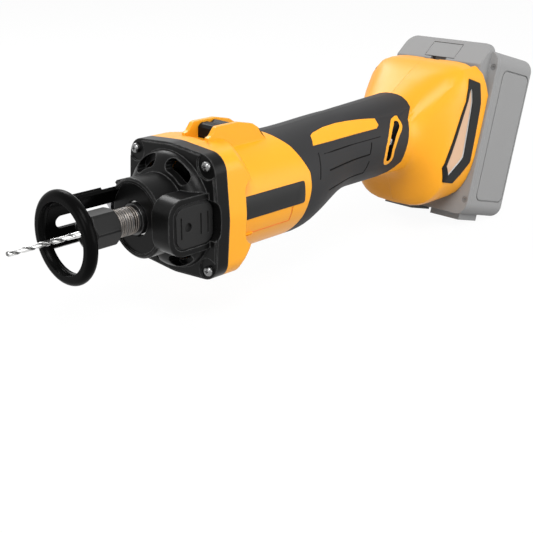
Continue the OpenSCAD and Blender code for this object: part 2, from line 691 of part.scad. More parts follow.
module front_cover() color(black) difference() {
    union() {
        difference() {
            union() {
                turned(concat([[0, nose_x], [nose_r - over, nose_x], [nose_r, nose_x + over], [nose_r, nose_end]],
                    [for (a = [0 : 15 : 90]) [nose_r + (dome_r - nose_r) * sin(a), flange_x - (flange_x - dome_x) * cos(a)]],
                    [[dome_r, flange_x + over], [0, flange_x + over]]));
                along_x() translate([0, 0, flange_x]) linear_extrude(flange_l) cover_outline();
                along_x() translate([0, 0, flange_x - over]) linear_extrude(over) cover_outline(over);
                for (s = [-1, 1]) arc_plate(nose_r - over, nose_r + arm_rib_h, nose_x + over, nose_end, arm_angle + s * (arm_span / 2 + arm_rib_span), arm_rib_span);
            }
            // Recess of the nose, spindle opening, bearing seat, groove of its clip, room of the lock collar and the fan
            turned([[0, nose_x - over], [nose_r - cover_wall, nose_x - over], [nose_r - cover_wall, nose_x + over], [thread_d / 2 + 2 * over, nose_x + over],
                [thread_d / 2 + 2 * over, front_bearing_x], [front_bearing_d / 2, front_bearing_x], [front_bearing_d / 2, front_bearing_end],
                [front_bearing_d / 2 + over, front_bearing_end], [front_bearing_d / 2 + over, front_bearing_end + over],
                [front_bearing_d / 2, front_bearing_end + over], [front_bearing_d / 2 + clear, collar_x],
                [front_bearing_d / 2 + clear, nose_end + over], [nose_r - 2 * cover_wall, dome_x + over], [dome_r - 3 * cover_wall, dome_x + dome_edge],
                [bay_r, flange_x], [bay_r, flange_end + over], [0, flange_end + over]]);
        }
        translate([lock_x, -spring_d * 2, 0]) to_left() linear_extrude(bezel_face - spring_d * 2)
            rounded_rect(lock_w + 2 * bezel_wall, lock_h + 2 * bezel_wall, lock_r + bezel_wall);
    }
    // Pocket, spring seat and bore of the spindle lock
    translate([lock_x, -lock_floor, 0]) to_left() linear_extrude(lock_face) rounded_rect(lock_w + 2 * clear, lock_h + 2 * clear, lock_r + clear);
    translate([lock_x, 0, 0]) to_left() {
        cylinder(d = pin_d + 2 * run_gap, h = lock_face);
        translate([0, 0, lock_floor - 2 * over]) cylinder(d = spring_d + 2 * clear, h = lock_face);
    }
    // Way of the foot's arm: open on the nose, a slot through the dome
    arc_plate(arm_r - clear, nose_r + foot_r, nose_x - over, nose_end - over, arm_angle, arm_span + 2);
    arc_plate(arm_r - clear, arm_r + arm_t + clear, nose_x, dome_x + dome_edge, arm_angle, arm_span + 2);
    at_arm() translate([clamp_x, 0, 0]) rotate([-90, 0, 0]) translate([0, 0, front_bearing_d / 2 + 3 * clear]) cylinder(d = clamp_d + 2 * run_gap, h = nose_r);
    along_x() translate([0, 0, nose_end - over]) linear_extrude(flange_x - nose_end + over / 2) for (a = vent_angles) vent_shape(a);
    at_corners() {
        rod_x(cover_screw_d + clear, nose_end, flange_end);
        rod_x(2 * cover_head_d, nose_end, flange_x - nose_end);
    }
}

module cover_screws() color(steel) at_corners() difference() {
    union() {
        turned([[0, flange_x - cover_head_h], [cover_head_d / 3, flange_x - cover_head_h], [cover_head_d / 2, flange_x - cover_head_h / 2],
            [cover_head_d / 2, flange_x], [0, flange_x]]);
        rod_x(cover_screw_d, flange_x, cover_screw_l);
    }
    for (a = [0, 90]) rotate([a, 0, 0]) translate([flange_x - cover_head_h - over, -cover_head_d / 4, -cover_head_h / 6]) cube([over + cover_head_h / 2, cover_head_d / 2, cover_head_h / 3]);
}

module ball_bearing(x, d, bore, w) {
    step = (d - bore) / 10;
    side = w / 12;
    turned([[bore / 2, x], [bore / 2 + 1.5 * step, x], [bore / 2 + 1.5 * step, x + side], [d / 2 - 1.5 * step, x + side], [d / 2 - 1.5 * step, x], [d / 2, x],
        [d / 2, x + w], [d / 2 - 1.5 * step, x + w], [d / 2 - 1.5 * step, x + w - side], [bore / 2 + 1.5 * step, x + w - side], [bore / 2 + 1.5 * step, x + w], [bore / 2, x + w]]);
}
module front_bearing() color(steel) ball_bearing(front_bearing_x, front_bearing_d, journal_d + 2 * run_gap, front_bearing_w);
module rear_bearing() color(steel) ball_bearing(rear_bearing_x, rear_bearing_d, tail_d + 2 * run_gap, rear_bearing_w);

module bearing_clip() color(dark_steel) difference() {
    rod_x(front_bearing_d + 2 * over, front_bearing_end, over);
    rod_x(front_bearing_d - 4 * over, front_bearing_end - over, 3 * over);
    rotate([90, 0, 0]) translate([front_bearing_end - over, 0, -2 * over]) cube([3 * over, front_bearing_d, 4 * over]);
}

module lock_button() color(pad_grey) difference() {
    union() {
        translate([lock_x, lock_t - lock_face, 0]) to_left() linear_extrude(lock_t - over) rounded_rect(lock_w, lock_h, lock_r);
        translate([lock_x, over - lock_face, 0]) to_left() linear_extrude(over) rounded_rect(lock_w - 2 * over, lock_h - 2 * over, lock_r - over);
    }
    translate([lock_x, lock_t - lock_face + over, 0]) to_left() {
        cylinder(d = pin_d, h = lock_t - over);
        cylinder(d = spring_d + 2 * clear, h = lock_t / 2 + over);
    }
    for (s = [-0.34, 0.16, 0.34]) translate([lock_x + s * lock_w, groove_depth - lock_face, 0]) to_left() linear_extrude(lock_t)
        square([groove_w, lock_h / 2], center = true);
    translate([lock_x - lock_w / 6, groove_depth * 2 - lock_face, 0]) to_left() cylinder(d = 5 * groove_w, h = lock_t);
}

module lock_pin() color(steel) translate([lock_x, 0, 0]) to_left() translate([0, 0, collar_d / 2 + 2 * clear])
    cylinder(d = pin_d, h = lock_face - 2 * over - collar_d / 2 - 2 * clear);

module lock_spring() color(steel) translate([lock_x, 0, 0]) rotate([0, 0, -90]) translate([lock_floor - 2 * over, 0, 0])
    coil(spring_d, spring_wire, lock_face - lock_t / 2 - lock_floor + 2 * over, 4);

module stator_ribs() {
    for (i = [0 : 3]) rotate([45 + 90 * i, 0, 0]) translate([stator_x, stator_d / 2, -tooth_w / 2]) cube([stator_l, barrel_wall + stator_d, tooth_w]);
}
module behind_edge(gap = 0) {
    across(2 * barrel_d) polygon(concat([for (i = [0 : len(edge_x_shares) - 1]) [edge_x + gap + edge_bulge * edge_x_shares[i], barrel_r * edge_z_shares[i]]],
        [[flare_x, -barrel_d], [flare_x, barrel_d]]));
}
module rod_way(x0, x1) { translate([x0, -rod_w / 2 - clear, rod_z - clear]) cube([x1 - x0, rod_w + 2 * clear, barrel_wall + rod_t]); }

// One corner tower in front view, and the rounding of the block's and the towers' rear
module tower_shape() { polygon(concat([[0, 0], polar(bay_r, 9)], corner_arc(flange_corner, 55), [polar(bay_r, 81)])); }
module rounded_end(l) {
    reach = corner_at + flange_corner + over;
    low = barrel_r - 2 * clear;
    turned(concat([[0, flange_end - over], [reach, flange_end - over]],
        [for (a = [0 : 15 : 90]) [low + (reach - low) * cos(a), flange_end + l * (straight_share + (1 - straight_share) * sin(a))]], [[0, flange_end + l]]));
}

module motor_housing() color(yellow) difference() {
    channel_w = slider_w + 2 * clear;
    union() {
        intersection() {
            along_x() translate([0, 0, flange_end]) linear_extrude(block_l) cover_outline();
            rounded_end(block_l);
        }
        intersection() {
            along_x() translate([0, 0, flange_end]) linear_extrude(tower_l) for (q = [0 : 3]) rotate(90 * q) tower_shape();
            rounded_end(tower_l);
        }
        rod_x(barrel_d, flange_end, spigot_end - flange_end);
        across(channel_w + 2 * fin_t) profile(guard_x, guard_l, guard_x_shares, barrel_r, guard_h, guard_z_shares);
    }
    difference() {
        behind_edge();
        rod_x(spigot_d, flange_end, spigot_end);
    }
    difference() {
        rod_x(2 * bay_r, flange_end - over, bay_end - flange_end + over);
        stator_ribs();
    }
    rod_x(spigot_d - 2 * spigot_wall, bay_end - over, spigot_end);
    rod_way(bay_end - over, spigot_end + over);
    // Channel of the slider and the slot for its lug
    translate([guard_x - over, -channel_w / 2, channel_z]) cube([guard_l - over, channel_w, guard_h]);
    translate([lug_x - slider_travel - clear, -rod_w / 2 - clear, 0]) cube([slider_travel + lug_l + 2 * clear, rod_w + 2 * clear, barrel_d]);
    at_corners() rod_x(cover_screw_d, flange_end - over, cover_screw_l - flange_l + 2 * over);
    // Fine line along the lower side
    for (s = [-1, 1]) {
        arc_plate(barrel_r - groove_depth, barrel_r + over, block_end, edge_x + clear - groove_w / 2, 270 + s * 62, 1.6);
        arc_plate(barrel_r - groove_depth, barrel_r + over, edge_x + clear - groove_w, edge_x + clear, 270 + s * 70.5, 17);
    }
}

module stator_core() color(dark_steel) {
    bore_r = rotor_d / 2 + air_gap;
    yoke = tooth_w * 4 / 5;
    along_x() translate([0, 0, stator_x]) linear_extrude(stator_l) difference() {
        circle(d = stator_d);
        circle(d = stator_d - 2 * yoke);
    }
    for (i = [0 : teeth - 1]) {
        rotate([360 * i / teeth, 0, 0]) translate([stator_x, bore_r + yoke / 4, -tooth_w / 2]) cube([stator_l, stator_d / 2 - yoke / 2 - bore_r - yoke / 4, tooth_w]);
        arc_plate(bore_r, bore_r + yoke / 3, stator_x, stator_end, 360 * i / teeth, 270 / teeth);
    }
}

module stator_windings() color(copper) {
    r0 = rotor_d / 2 + air_gap + tooth_w / 3;
    r1 = stator_d / 2 - tooth_w;
    for (i = [0 : teeth - 1]) rotate([360 * i / teeth, 0, 0]) difference() {
        translate([stator_x - end_turn, r0, -tooth_w]) cube([stator_l + 2 * end_turn, r1 - r0, 2 * tooth_w]);
        translate([stator_x, r0 - over, -tooth_w / 2]) cube([stator_l, r1, tooth_w]);
    }
}

module rear_bearing_holder() color(black) {
    front = stator_end + end_turn + 4 * clear;
    hub_d = rear_bearing_d + 2 * barrel_wall;
    difference() {
        union() {
            rod_x(hub_d, front, bay_end - front);
            difference() {
                rod_x(2 * bay_r, front, bay_end - front);
                rod_x(2 * bay_r - 2 * barrel_wall, front - over, bay_end - front + 2 * over);
            }
            for (i = [0 : 3]) rotate([45 + 90 * i, 0, 0]) translate([front, hub_d / 2 - over, -barrel_wall]) cube([bay_end - front, bay_r - hub_d / 2, 2 * barrel_wall]);
        }
        rod_x(rear_bearing_d, rear_bearing_x, bay_end);
        rod_x(rear_bearing_d - 2 * barrel_wall, front - over, bay_end);
        rod_way(front - over, bay_end + over);
    }
}

module switch_slider() color(black) {
    across(slider_w) profile(slider_x, slider_l, slider_x_shares, channel_z + clear, slider_h, slider_z_shares);
    translate([lug_x, -rod_w / 2, rod_z + rod_t]) cube([lug_l, rod_w, channel_z + over - rod_z - rod_t]);
}

module switch_rod() color(dark_steel) {
    translate([lug_x, -rod_w / 2, rod_z]) cube([rod_end - lug_x, rod_w, rod_t]);
    translate([rod_end - rod_t, -rod_w / 2, rod_z - module_h * 2 / 3]) cube([rod_t, rod_w, module_h * 2 / 3 + rod_t]);
}

module switch_module() color(black) {
    translate([module_x, -module_w / 2, module_z]) cube([module_l, module_w, module_h]);
    translate([0, 0, module_z + module_h / 2]) rod_x(rod_w / 2, module_x + module_l, over - clear);
}

// Side view of the strip and the vent in the grip
module strip_shape() { profile(strip_x, strip_l, strip_x_shares, strip_z, strip_h, strip_z_shares); }
race_last = len(race_x_shares) - 1;
race_path = [for (i = [0 : race_last]) [race_x + race_l * race_x_shares[i], race_z + race_l * race_z_shares[i]]];
function race_heading(i) = let (d = race_path[min(i + 1, race_last)] - race_path[max(i - 1, 0)]) atan2(d[1], d[0]);
module race_shape(w) {
    polygon(concat(
        [for (i = [0 : race_last]) race_path[i] + polar(w / 2, race_heading(i) - 90)],
        [for (a = [-60 : 30 : 60]) race_path[race_last] + polar(w / 2, race_heading(race_last) + a)],
        [for (i = [race_last : -1 : 0]) race_path[i] + polar(w / 2, race_heading(i) + 90)],
        [for (a = [120 : 30 : 240]) race_path[0] + polar(w / 2, race_heading(0) + a)]));
}
module grip_region() {
    across(2 * barrel_d) polygon(concat([for (i = [0 : len(end_x_shares) - 1]) [grip_end - grip_sweep * end_x_shares[i], grip_rise + grip_r * end_z_shares[i]]],
        [[loft_front - over, -barrel_d], [loft_front - over, barrel_d]]));
}
module ahead_of_edge() {
    difference() {
        translate([0, -barrel_d, -barrel_d]) cube([edge_x + 2 * edge_bulge, 2 * barrel_d, 2 * barrel_d]);
        behind_edge(seam);
    }
}

// Screw places of the shells: along the axis, height, and side of the head
shell_screw_at = [[spigot_end + shell_boss_d, -shell_boss_d * 3 / 2, 1], [grip_end - race_l - shell_boss_d, grip_rise - grip_r + shell_boss_d, 1],
    [flare_end, receiver_h * 2 / 5, 1], [flare_end - shell_boss_d, -receiver_h / 5, 1]];
function skin_y(x, z) = half_w(x) * pow(max(0, 1 - pow(abs(z - middle_z(x)) / half_h(x), power(x))), 1 / power(x));
function head_y(q) = skin_y(q[0], q[1]) * 0.62;

// What stays solid inside the left shell: screw bosses, the seats of the switch and the ledge of the board
module shell_inner() {
    for (q = shell_screw_at) translate([q[0], 0, q[1]]) to_left() cylinder(d = shell_boss_d, h = receiver_w);
    translate([race_x, 0, race_z]) to_left() cylinder(d = shell_boss_d, h = receiver_w);
    translate([module_x + over, -receiver_w - module_w / 2, module_z + over]) cube([module_l - 2 * over, receiver_w, module_h - 2 * over]);
    translate([board_x + over, -receiver_w - board_w / 2 + 2 * over, board_z - shell_wall]) cube([board_l - 2 * over, receiver_w, shell_wall]);
}

module bumper_shape() { profile(-bumper_rear, -bumper_w, bumper_x_shares, -bumper_h / 2 - over, bumper_h, bumper_z_shares); }
module insert_shape() { profile(-bumper_rear, -bumper_w, insert_x_shares, -bumper_h / 2 - over, bumper_h, insert_z_shares); }
module left_prism() { translate([0, -grip_r / 6, 0]) to_left() linear_extrude(receiver_w) children(); }

// Battery bay with its rails, the terminals' pocket, the chin for the pack's latch and the way of the leads
module battery_bay() {
    tilted() {
        translate([0, 0, -bay_floor]) linear_extrude(rail_l) {
            translate([-bay_depth, -bay_w / 2]) square([bay_depth - rail_setback - rail_t, bay_w]);
            translate([-bay_depth, rail_depth - bay_w / 2]) square([bay_depth + over, bay_w - 2 * rail_depth]);
            translate([-rail_setback, -bay_w / 2]) square([rail_setback + over, bay_w]);
        }
        translate([-bay_depth, -bay_w / 2, rail_l - bay_floor]) cube([bay_depth + over, bay_w, receiver_h]);
        translate([-bay_depth, -terminal_w / 2, -bay_floor - terminal_h]) cube([terminal_l, terminal_w, terminal_h + over]);
        across(2 * receiver_w) polygon([[0, receiver_point], [over, receiver_point], [over, receiver_h], [-chin_l, receiver_h], [-chin_l, receiver_h / 2]]);
        translate([-bay_depth - catch_depth, -latch_w / 4 - clear, catch_z - clear]) cube([bay_depth, latch_w / 2 + 2 * clear, receiver_h]);
        translate([0, 0, -bay_floor * 3 / 4]) along_x() translate([0, 0, -bay_depth - 2 * bulkhead]) cylinder(d = 2 * bulkhead, h = 2 * bulkhead + over);
    }
}

// Left half of the shells before its screw holes
module shell_half() {
    difference() {
        half_loft(0, receiver_x);
        difference() {
            grip_region();
            half_loft(grip_skin, grip_end + over, true);
            left_prism() strip_shape();
            left_prism() race_shape(race_w);
        }
        difference() {
            half_loft(grip_skin + shell_wall, receiver_x - (bay_depth + bulkhead) / cos(tilt), true);
            shell_inner();
        }
        difference() {
            tilted() left_prism() bumper_shape();
            half_loft(bumper_t, receiver_x, true, flare_x);
        }
        rod_x(spigot_d, 0, spigot_end + clear);
        ahead_of_edge();
        battery_bay();
        difference() {
            left_prism() race_shape(race_w - 2 * race_rim);
            translate([race_x, 0, race_z]) to_left() cylinder(d = vent_head_d, h = vent_head_y);
        }
    }
}

// Holes of the shell screws: the head's seat on one side, the thread on the other
module screw_holes() {
    for (q = shell_screw_at) translate([q[0], q[2] * head_y(q), q[1]]) {
        to_left() translate([0, 0, -over]) cylinder(d = shell_screw_d, h = head_y(q) + shell_pilot + over);
        mirror([0, 1, 0]) to_left() cylinder(d = shell_head_d + 2 * clear, h = receiver_w);
    }
    translate([race_x, -vent_head_y, race_z]) mirror([0, 1, 0]) to_left() translate([0, 0, -over]) cylinder(d = vent_screw_d, h = vent_head_y + shell_pilot + over);
}
module shell_left() color(yellow) difference() { shell_half(); screw_holes(); }
module shell_right() color(yellow) difference() { mirror([0, 1, 0]) shell_half(); screw_holes(); }

module shell_screws() color(steel) {
    for (q = shell_screw_at) translate([q[0], head_y(q), q[1]]) {
        to_left() cylinder(d = shell_screw_d, h = head_y(q) + shell_pilot);
        mirror([0, 1, 0]) to_left() difference() {
            cylinder(d = shell_head_d, h = shell_head_h);
            translate([0, 0, shell_head_h / 2]) cylinder(d = shell_head_d / 2, h = shell_head_h, $fn = 6);
        }
    }
    translate([race_x, -vent_head_y, race_z]) {
        to_left() difference() {
            cylinder(d = vent_head_d, h = shell_head_h / 2);
            for (a = [0, 90]) rotate(a) translate([0, 0, shell_head_h / 2]) cube([vent_head_d * 2 / 3, groove_w / 2, groove_w], center = true);
        }
        mirror([0, 1, 0]) to_left() cylinder(d = vent_screw_d, h = vent_head_y + shell_pilot);
    }
}

// Grooves of the left grip, cut to an even depth
module groove_line(a, b) {
    d = b - a;
    translate(a) rotate(atan2(d[1], d[0])) translate([0, -groove_w / 2]) square([norm(d), groove_w]);
}
module grip_grooves() {
    x0 = strip_x + strip_l * groove_x_shares[0];
    x1 = strip_x + strip_l * groove_x_shares[1];
    x2 = strip_x + strip_l * groove_x_shares[2];
    zs = [for (s = groove_z_shares) grip_rise + grip_r * s];
    groove_line([x0, zs[0]], [x0 - groove_slant, zs[3]]);
    groove_line([x2, zs[1]], [x2 - groove_slant / 2, zs[2]]);
    groove_line([x1, zs[2] - groove_w], [x2 - groove_slant / 2, zs[2]]);
    groove_line([x2 - groove_slant / 2, zs[3]], [x2 - groove_slant, zs[4]]);
    groove_line([x1, zs[4] - groove_w], [x2 - groove_slant, zs[4]]);
}
module grip_half() {
    difference() {
        intersection() {
            half_loft(0, grip_end + over);
            grip_region();
        }
        half_loft(grip_skin, grip_end + over, true);
        left_prism() strip_shape();
        left_prism() race_shape(race_w);
        ahead_of_edge();
        difference() {
            left_prism() grip_grooves();
            half_loft(groove_depth, grip_end + over, true);
        }
    }
}
module right_screw_ways() {
    for (q = shell_screw_at) translate([q[0], 0, q[1]]) mirror([0, 1, 0]) to_left() cylinder(d = shell_head_d + 2 * clear, h = receiver_w);
}
module grip_left() color(rubber) grip_half();
module grip_right() color(rubber) difference() { mirror([0, 1, 0]) grip_half(); right_screw_ways(); }

module bumper_half() {
    difference() {
        intersection() {
            half_loft(-bumper_proud, receiver_x, false, flare_x);
            tilted() left_prism() bumper_shape();
        }
        half_loft(bumper_t, receiver_x, true, flare_x);
        tilted() left_prism() insert_shape();
    }
}
module insert_half() {
    difference() {
        intersection() {
            half_loft(bumper_proud, receiver_x, false, flare_x);
            tilted() left_prism() insert_shape();
        }
        half_loft(bumper_t, receiver_x, true, flare_x);
    }
}
module side_bumper_left() color(black) bumper_half();
module side_bumper_right() color(black) mirror([0, 1, 0]) bumper_half();
module bumper_insert_left() color(beige) insert_half();
module bumper_insert_right() color(beige) mirror([0, 1, 0]) insert_half();

module control_board() color(board_green) translate([board_x, -board_w / 2, board_z]) cube([board_l, board_w, board_t]);
module board_parts() color(dark_steel) translate([board_x, 0, board_z + board_t]) {
    for (s = [-1, 1]) translate([board_l / 4, s * board_w / 4, board_w / 6]) rotate([0, 90, 0]) cylinder(d = board_w / 3, h = board_l / 4 - clear);
    for (i = [0 : 5]) translate([board_l * (0.52 + 0.07 * i), -board_w / 3, 0]) cube([board_l / 25, board_w * 2 / 3, board_w / 4]);
    translate([board_l / 2, -board_w / 3, 0]) cube([board_l * 9 / 20, board_w * 2 / 3, board_t]);
}

module blades(gap = 0) {
    for (i = [0 : 3]) translate([-bay_depth + 2 * over - gap, (i - 1.5) * blade_pitch - blade_t / 2 - gap, -bay_floor - terminal_h + over])
        cube([blade_w + 2 * gap, blade_t + 2 * gap, blade_l]);
}
module terminal_block() color(black) tilted() difference() {
    translate([-bay_depth, -terminal_w / 2, -bay_floor - terminal_h]) cube([terminal_l, terminal_w, terminal_h]);
    blades();
}
module terminal_blades() color(brass) tilted() blades();

// Battery pack: the front case carries the rails and the latch, the rear case the cells
module pack_outline(inset = 0) { translate([0, pack_h / 2 - pack_low]) rounded_rect(pack_w - 2 * inset, pack_h - 2 * inset, pack_r - inset); }
module latch_slope(inset = 0) {
    polygon([[pack_split, receiver_point + over], [clear, receiver_point + over], [-latch_reach, receiver_point + over + latch_reach * chin_slope],
        [-latch_reach, latch_low], [latch_slope_x - inset, latch_top - inset], [pack_split, latch_top - inset]]);
}
module latch_room(rear, grow = 0) {
    translate([-latch_reach - over, latch_low + latch_t / 2 - grow]) square([latch_reach + rear + over, latch_top - latch_low - latch_t * 3 / 2 + 2 * grow]);
}
module latch_block() intersection() {
    across(latch_block_w) latch_slope();
    along_x() translate([0, receiver_point, -latch_reach - over]) linear_extrude(latch_reach + pack_split + over) rounded_rect(latch_block_w, 2 * (latch_top - receiver_point), latch_block_r);
}
module battery_case_front() color(pack_grey) tilted() difference() {
    union() {
        along_x() translate([0, 0, clear]) linear_extrude(pack_split - clear) pack_outline();
        translate([0, 0, clear - bay_floor]) linear_extrude(bay_floor + receiver_point) {
            translate([clear - bay_depth, clear - bay_w / 2]) square([bay_depth - rail_setback - rail_t - 2 * clear, bay_w - 2 * clear]);
            translate([clear - bay_depth, rail_depth + clear - bay_w / 2]) square([bay_depth, bay_w - 2 * rail_depth - 2 * clear]);
            translate([clear - rail_setback, clear - bay_w / 2]) square([rail_setback, bay_w - 2 * clear]);
        }
        latch_block();
    }
    // Room for the board, the contacts and the latch
    translate([-bay_depth + 3 * pack_wall, -bay_w / 4, -bay_floor / 2]) cube([bay_depth, bay_w / 2, bay_floor]);
    for (i = [0 : 3]) translate([-bay_depth, (i - 1.5) * blade_pitch - contact_w / 2, -bay_floor]) cube([blade_w + 3 * over, contact_w, blade_l - terminal_h + 2 * over]);
    across(latch_w + 2 * clear) latch_room(pack_split - over, clear);
    translate([-bay_depth, -latch_w / 4 - clear, catch_z - clear]) cube([bay_depth + pack_split - over, latch_w / 2 + 2 * clear, latch_low + latch_t - catch_z + clear]);
    for (s = [-1, 1], z = pack_screw_z) translate([0, s * pack_screw_y, z]) {
        rod_x(pack_screw_d, 0, pack_l);
        rod_x(pack_head_d, 0, pack_split / 2);
    }
}
module battery_case_rear() color(pack_grey) tilted() difference() {
    union() {
        along_x() translate([0, 0, pack_split]) linear_extrude(pack_l - pack_edge) pack_outline();
        hull() for (k = [0, 1]) along_x() translate([0, 0, pack_split + pack_l - pack_edge + k * (pack_edge - over)])
            linear_extrude(over) pack_outline(k * pack_edge * 2 / 3, $fn = 32);
        for (s = [-1, 1]) translate([pack_split + pack_wall, s * pack_w / 4 - pack_foot_w / 2, -pack_low - pack_foot_h]) cube([pack_l / 2, pack_foot_w, 2 * pack_foot_h]);
    }
    along_x() translate([0, 0, pack_split - over]) linear_extrude(pack_l - pack_wall + over) difference() {
        pack_outline(pack_wall);
        for (s = [-1, 1], z = pack_screw_z) translate([s * (cell_l / 2 + clear + pack_head_d), z]) square(2 * pack_head_d, center = true);
    }
    for (s = [-1, 1], z = pack_screw_z) translate([0, s * pack_screw_y, z]) rod_x(pack_screw_d, 0, pack_split + pack_screw_l + over);
    // Raised panel on each side, set off by a shallow step round it
    for (s = [-1, 1]) translate([pack_split + pack_l / 2, s * pack_w / 2, pack_h / 2 - pack_low]) rotate([90, 0, 0]) translate([0, 0, -groove_depth]) linear_extrude(2 * groove_depth) difference() {
        rounded_rect(pack_l - 2 * pack_edge, pack_h - 4 * pack_edge, pack_edge);
        rounded_rect(pack_l - 2 * pack_edge - 2 * groove_w, pack_h - 4 * pack_edge - 2 * groove_w, pack_edge - groove_w);
    }
}
module battery_cells() color(cell_blue) tilted() for (i = [0 : cells - 1], k = [0 : cell_layers - 1])
    translate([cell_x + k * (cell_d + clear), cell_l / 2, pack_h / 2 - pack_low + (i - (cells - 1) / 2) * (cell_d + 2 * clear)]) to_left() cylinder(d = cell_d, h = cell_l);
module battery_board() color(board_green) tilted() translate([pack_split, -cell_l / 2, -bay_floor]) cube([board_t, cell_l, bay_floor + pack_h - pack_low - 2 * pack_r]);
module battery_contacts() color(brass) tilted() for (i = [0 : 3], s = [-1, 1])
    translate([-bay_depth + 2 * over, (i - 1.5) * blade_pitch + s * (contact_w - blade_t) / 2 - blade_t / 2, -bay_floor + 2 * over]) cube([blade_w + over, blade_t, blade_l - terminal_h]);
module battery_screws() color(steel) tilted() for (s = [-1, 1], z = pack_screw_z) translate([0, s * pack_screw_y, z]) difference() {
    union() {
        rod_x(pack_screw_d, pack_split / 2, pack_split / 2 + pack_screw_l);
        rod_x(pack_head_d, pack_split / 2 - pack_head_h, pack_head_h);
    }
    along_x() translate([0, 0, pack_split / 2 - pack_head_h - over]) cylinder(d = pack_screw_d * 3 / 4, h = over + pack_head_h / 2, $fn = 6);
}
module latch_button() color(pack_grey) tilted() {
    // A wedge with the block's slope, which moves square to the receiver's face
    across(latch_w) intersection() { latch_slope(); latch_room(latch_rear); }
    translate([latch_stem_x, -latch_w / 4, catch_z]) cube([latch_t, latch_w / 2, latch_low + latch_t - catch_z]);
    translate([-bay_depth - catch_depth + clear, -latch_w / 4, catch_z]) cube([latch_stem_x + bay_depth + catch_depth - clear + over, latch_w / 2, latch_t]);
}
module latch_spring() color(steel) tilted() translate([latch_stem_x + latch_t, 0, catch_z + latch_t]) coil(latch_t + spring_wire, spring_wire, pack_split - over - latch_stem_x - latch_t, 4);

guide_foot();
guide_clamp_screw();
cutting_bit();
collet_nut();
collet();
spindle();
lock_collar();
fan();
rotor();
front_cover();
cover_screws();
front_bearing();
bearing_clip();
lock_button();
lock_pin();
lock_spring();
motor_housing();
stator_core();
stator_windings();
rear_bearing();
rear_bearing_holder();
switch_slider();
switch_rod();
switch_module();
shell_left();
shell_right();
grip_left();
grip_right();
shell_screws();
control_board();
board_parts();
side_bumper_left();
side_bumper_right();
bumper_insert_left();
bumper_insert_right();
terminal_block();
terminal_blades();
battery_case_front();
battery_case_rear();
battery_cells();
battery_board();
battery_contacts();
battery_screws();
latch_button();
latch_spring();
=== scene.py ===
"""Looks of a cordless drywall cut out tool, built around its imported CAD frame.

The frame's nodes give the pieces and their places. This script dresses them in
procedural finishes, draws a few copies into their fuller form, adds the fine
pieces that the solids leave out, and sets the studio and the camera.
"""

import json
import logging
import math
from dataclasses import dataclass
from enum import Enum
from typing import Any, Callable, Optional, Sequence

import bmesh
import bpy
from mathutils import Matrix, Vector
from mathutils.bvhtree import BVHTree

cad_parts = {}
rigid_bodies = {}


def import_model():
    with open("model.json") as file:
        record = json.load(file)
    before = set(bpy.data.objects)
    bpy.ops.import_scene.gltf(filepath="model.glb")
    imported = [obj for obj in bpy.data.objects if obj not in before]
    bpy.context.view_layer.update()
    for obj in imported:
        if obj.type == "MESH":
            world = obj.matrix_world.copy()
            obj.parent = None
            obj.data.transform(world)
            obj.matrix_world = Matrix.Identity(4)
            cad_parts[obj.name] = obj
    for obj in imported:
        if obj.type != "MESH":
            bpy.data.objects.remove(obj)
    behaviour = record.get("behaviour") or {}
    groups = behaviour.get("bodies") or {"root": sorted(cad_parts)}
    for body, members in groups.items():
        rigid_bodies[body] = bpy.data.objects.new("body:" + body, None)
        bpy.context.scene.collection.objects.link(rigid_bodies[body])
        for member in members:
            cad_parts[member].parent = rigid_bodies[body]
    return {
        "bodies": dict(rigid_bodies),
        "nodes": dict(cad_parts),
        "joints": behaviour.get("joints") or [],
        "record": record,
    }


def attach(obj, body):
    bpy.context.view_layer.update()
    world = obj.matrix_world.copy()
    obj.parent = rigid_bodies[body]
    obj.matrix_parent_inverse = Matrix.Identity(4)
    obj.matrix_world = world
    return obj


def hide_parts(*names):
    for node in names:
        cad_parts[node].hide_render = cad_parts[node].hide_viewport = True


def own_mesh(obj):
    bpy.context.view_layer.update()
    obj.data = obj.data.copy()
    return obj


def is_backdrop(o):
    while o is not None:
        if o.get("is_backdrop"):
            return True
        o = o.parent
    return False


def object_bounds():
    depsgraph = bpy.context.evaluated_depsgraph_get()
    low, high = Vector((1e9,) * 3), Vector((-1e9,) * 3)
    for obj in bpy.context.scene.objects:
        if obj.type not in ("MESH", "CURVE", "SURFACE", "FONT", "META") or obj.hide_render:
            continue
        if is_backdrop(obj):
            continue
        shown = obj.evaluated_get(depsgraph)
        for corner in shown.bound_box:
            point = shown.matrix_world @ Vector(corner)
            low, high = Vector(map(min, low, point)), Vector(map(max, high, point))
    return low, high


LOG = logging.getLogger("cut_out_tool")
MM = 0.001
MERGE_DISTANCE = 2e-6
# Point attribute of how deep a point lies in a recess; finishes paint shade by it.
RECESS_SHADE = "recess"
PACK_LEAN = math.radians(15.0)
Color = tuple[float, float, float]
Span = tuple[float, float]
Place = tuple[float, float]
Form = Callable[[Vector], Vector]
FaceTest = Callable[[bmesh.types.BMFace], bool]


class Body(Enum):
    """Moving bodies of the frame."""

    TOOL = "tool"
    SPINDLE = "spindle"
    NUT = "nut"
    BIT = "bit"
    GUIDE = "guide"
    CLAMP = "clamp"
    SLIDER = "slider"
    LOCK = "lock"
    PACK = "pack"
    LATCH = "latch"


class Side(Enum):
    """Sides of the tool."""

    LEFT = "left"
    RIGHT = "right"

    def carry(self, point: Vector) -> Vector:
        """Return a point of the left side, carried over to this side."""
        return point if self is Side.LEFT else Vector((point.x, -point.y, point.z))


class Pattern(Enum):
    """Surface patterns that a finish can carry."""

    MOULDED = "moulded"
    STIPPLED = "stippled"
    BRUSHED = "brushed"
    CAST = "cast"
    LAYERED = "layered"
    PRINTED = "printed"


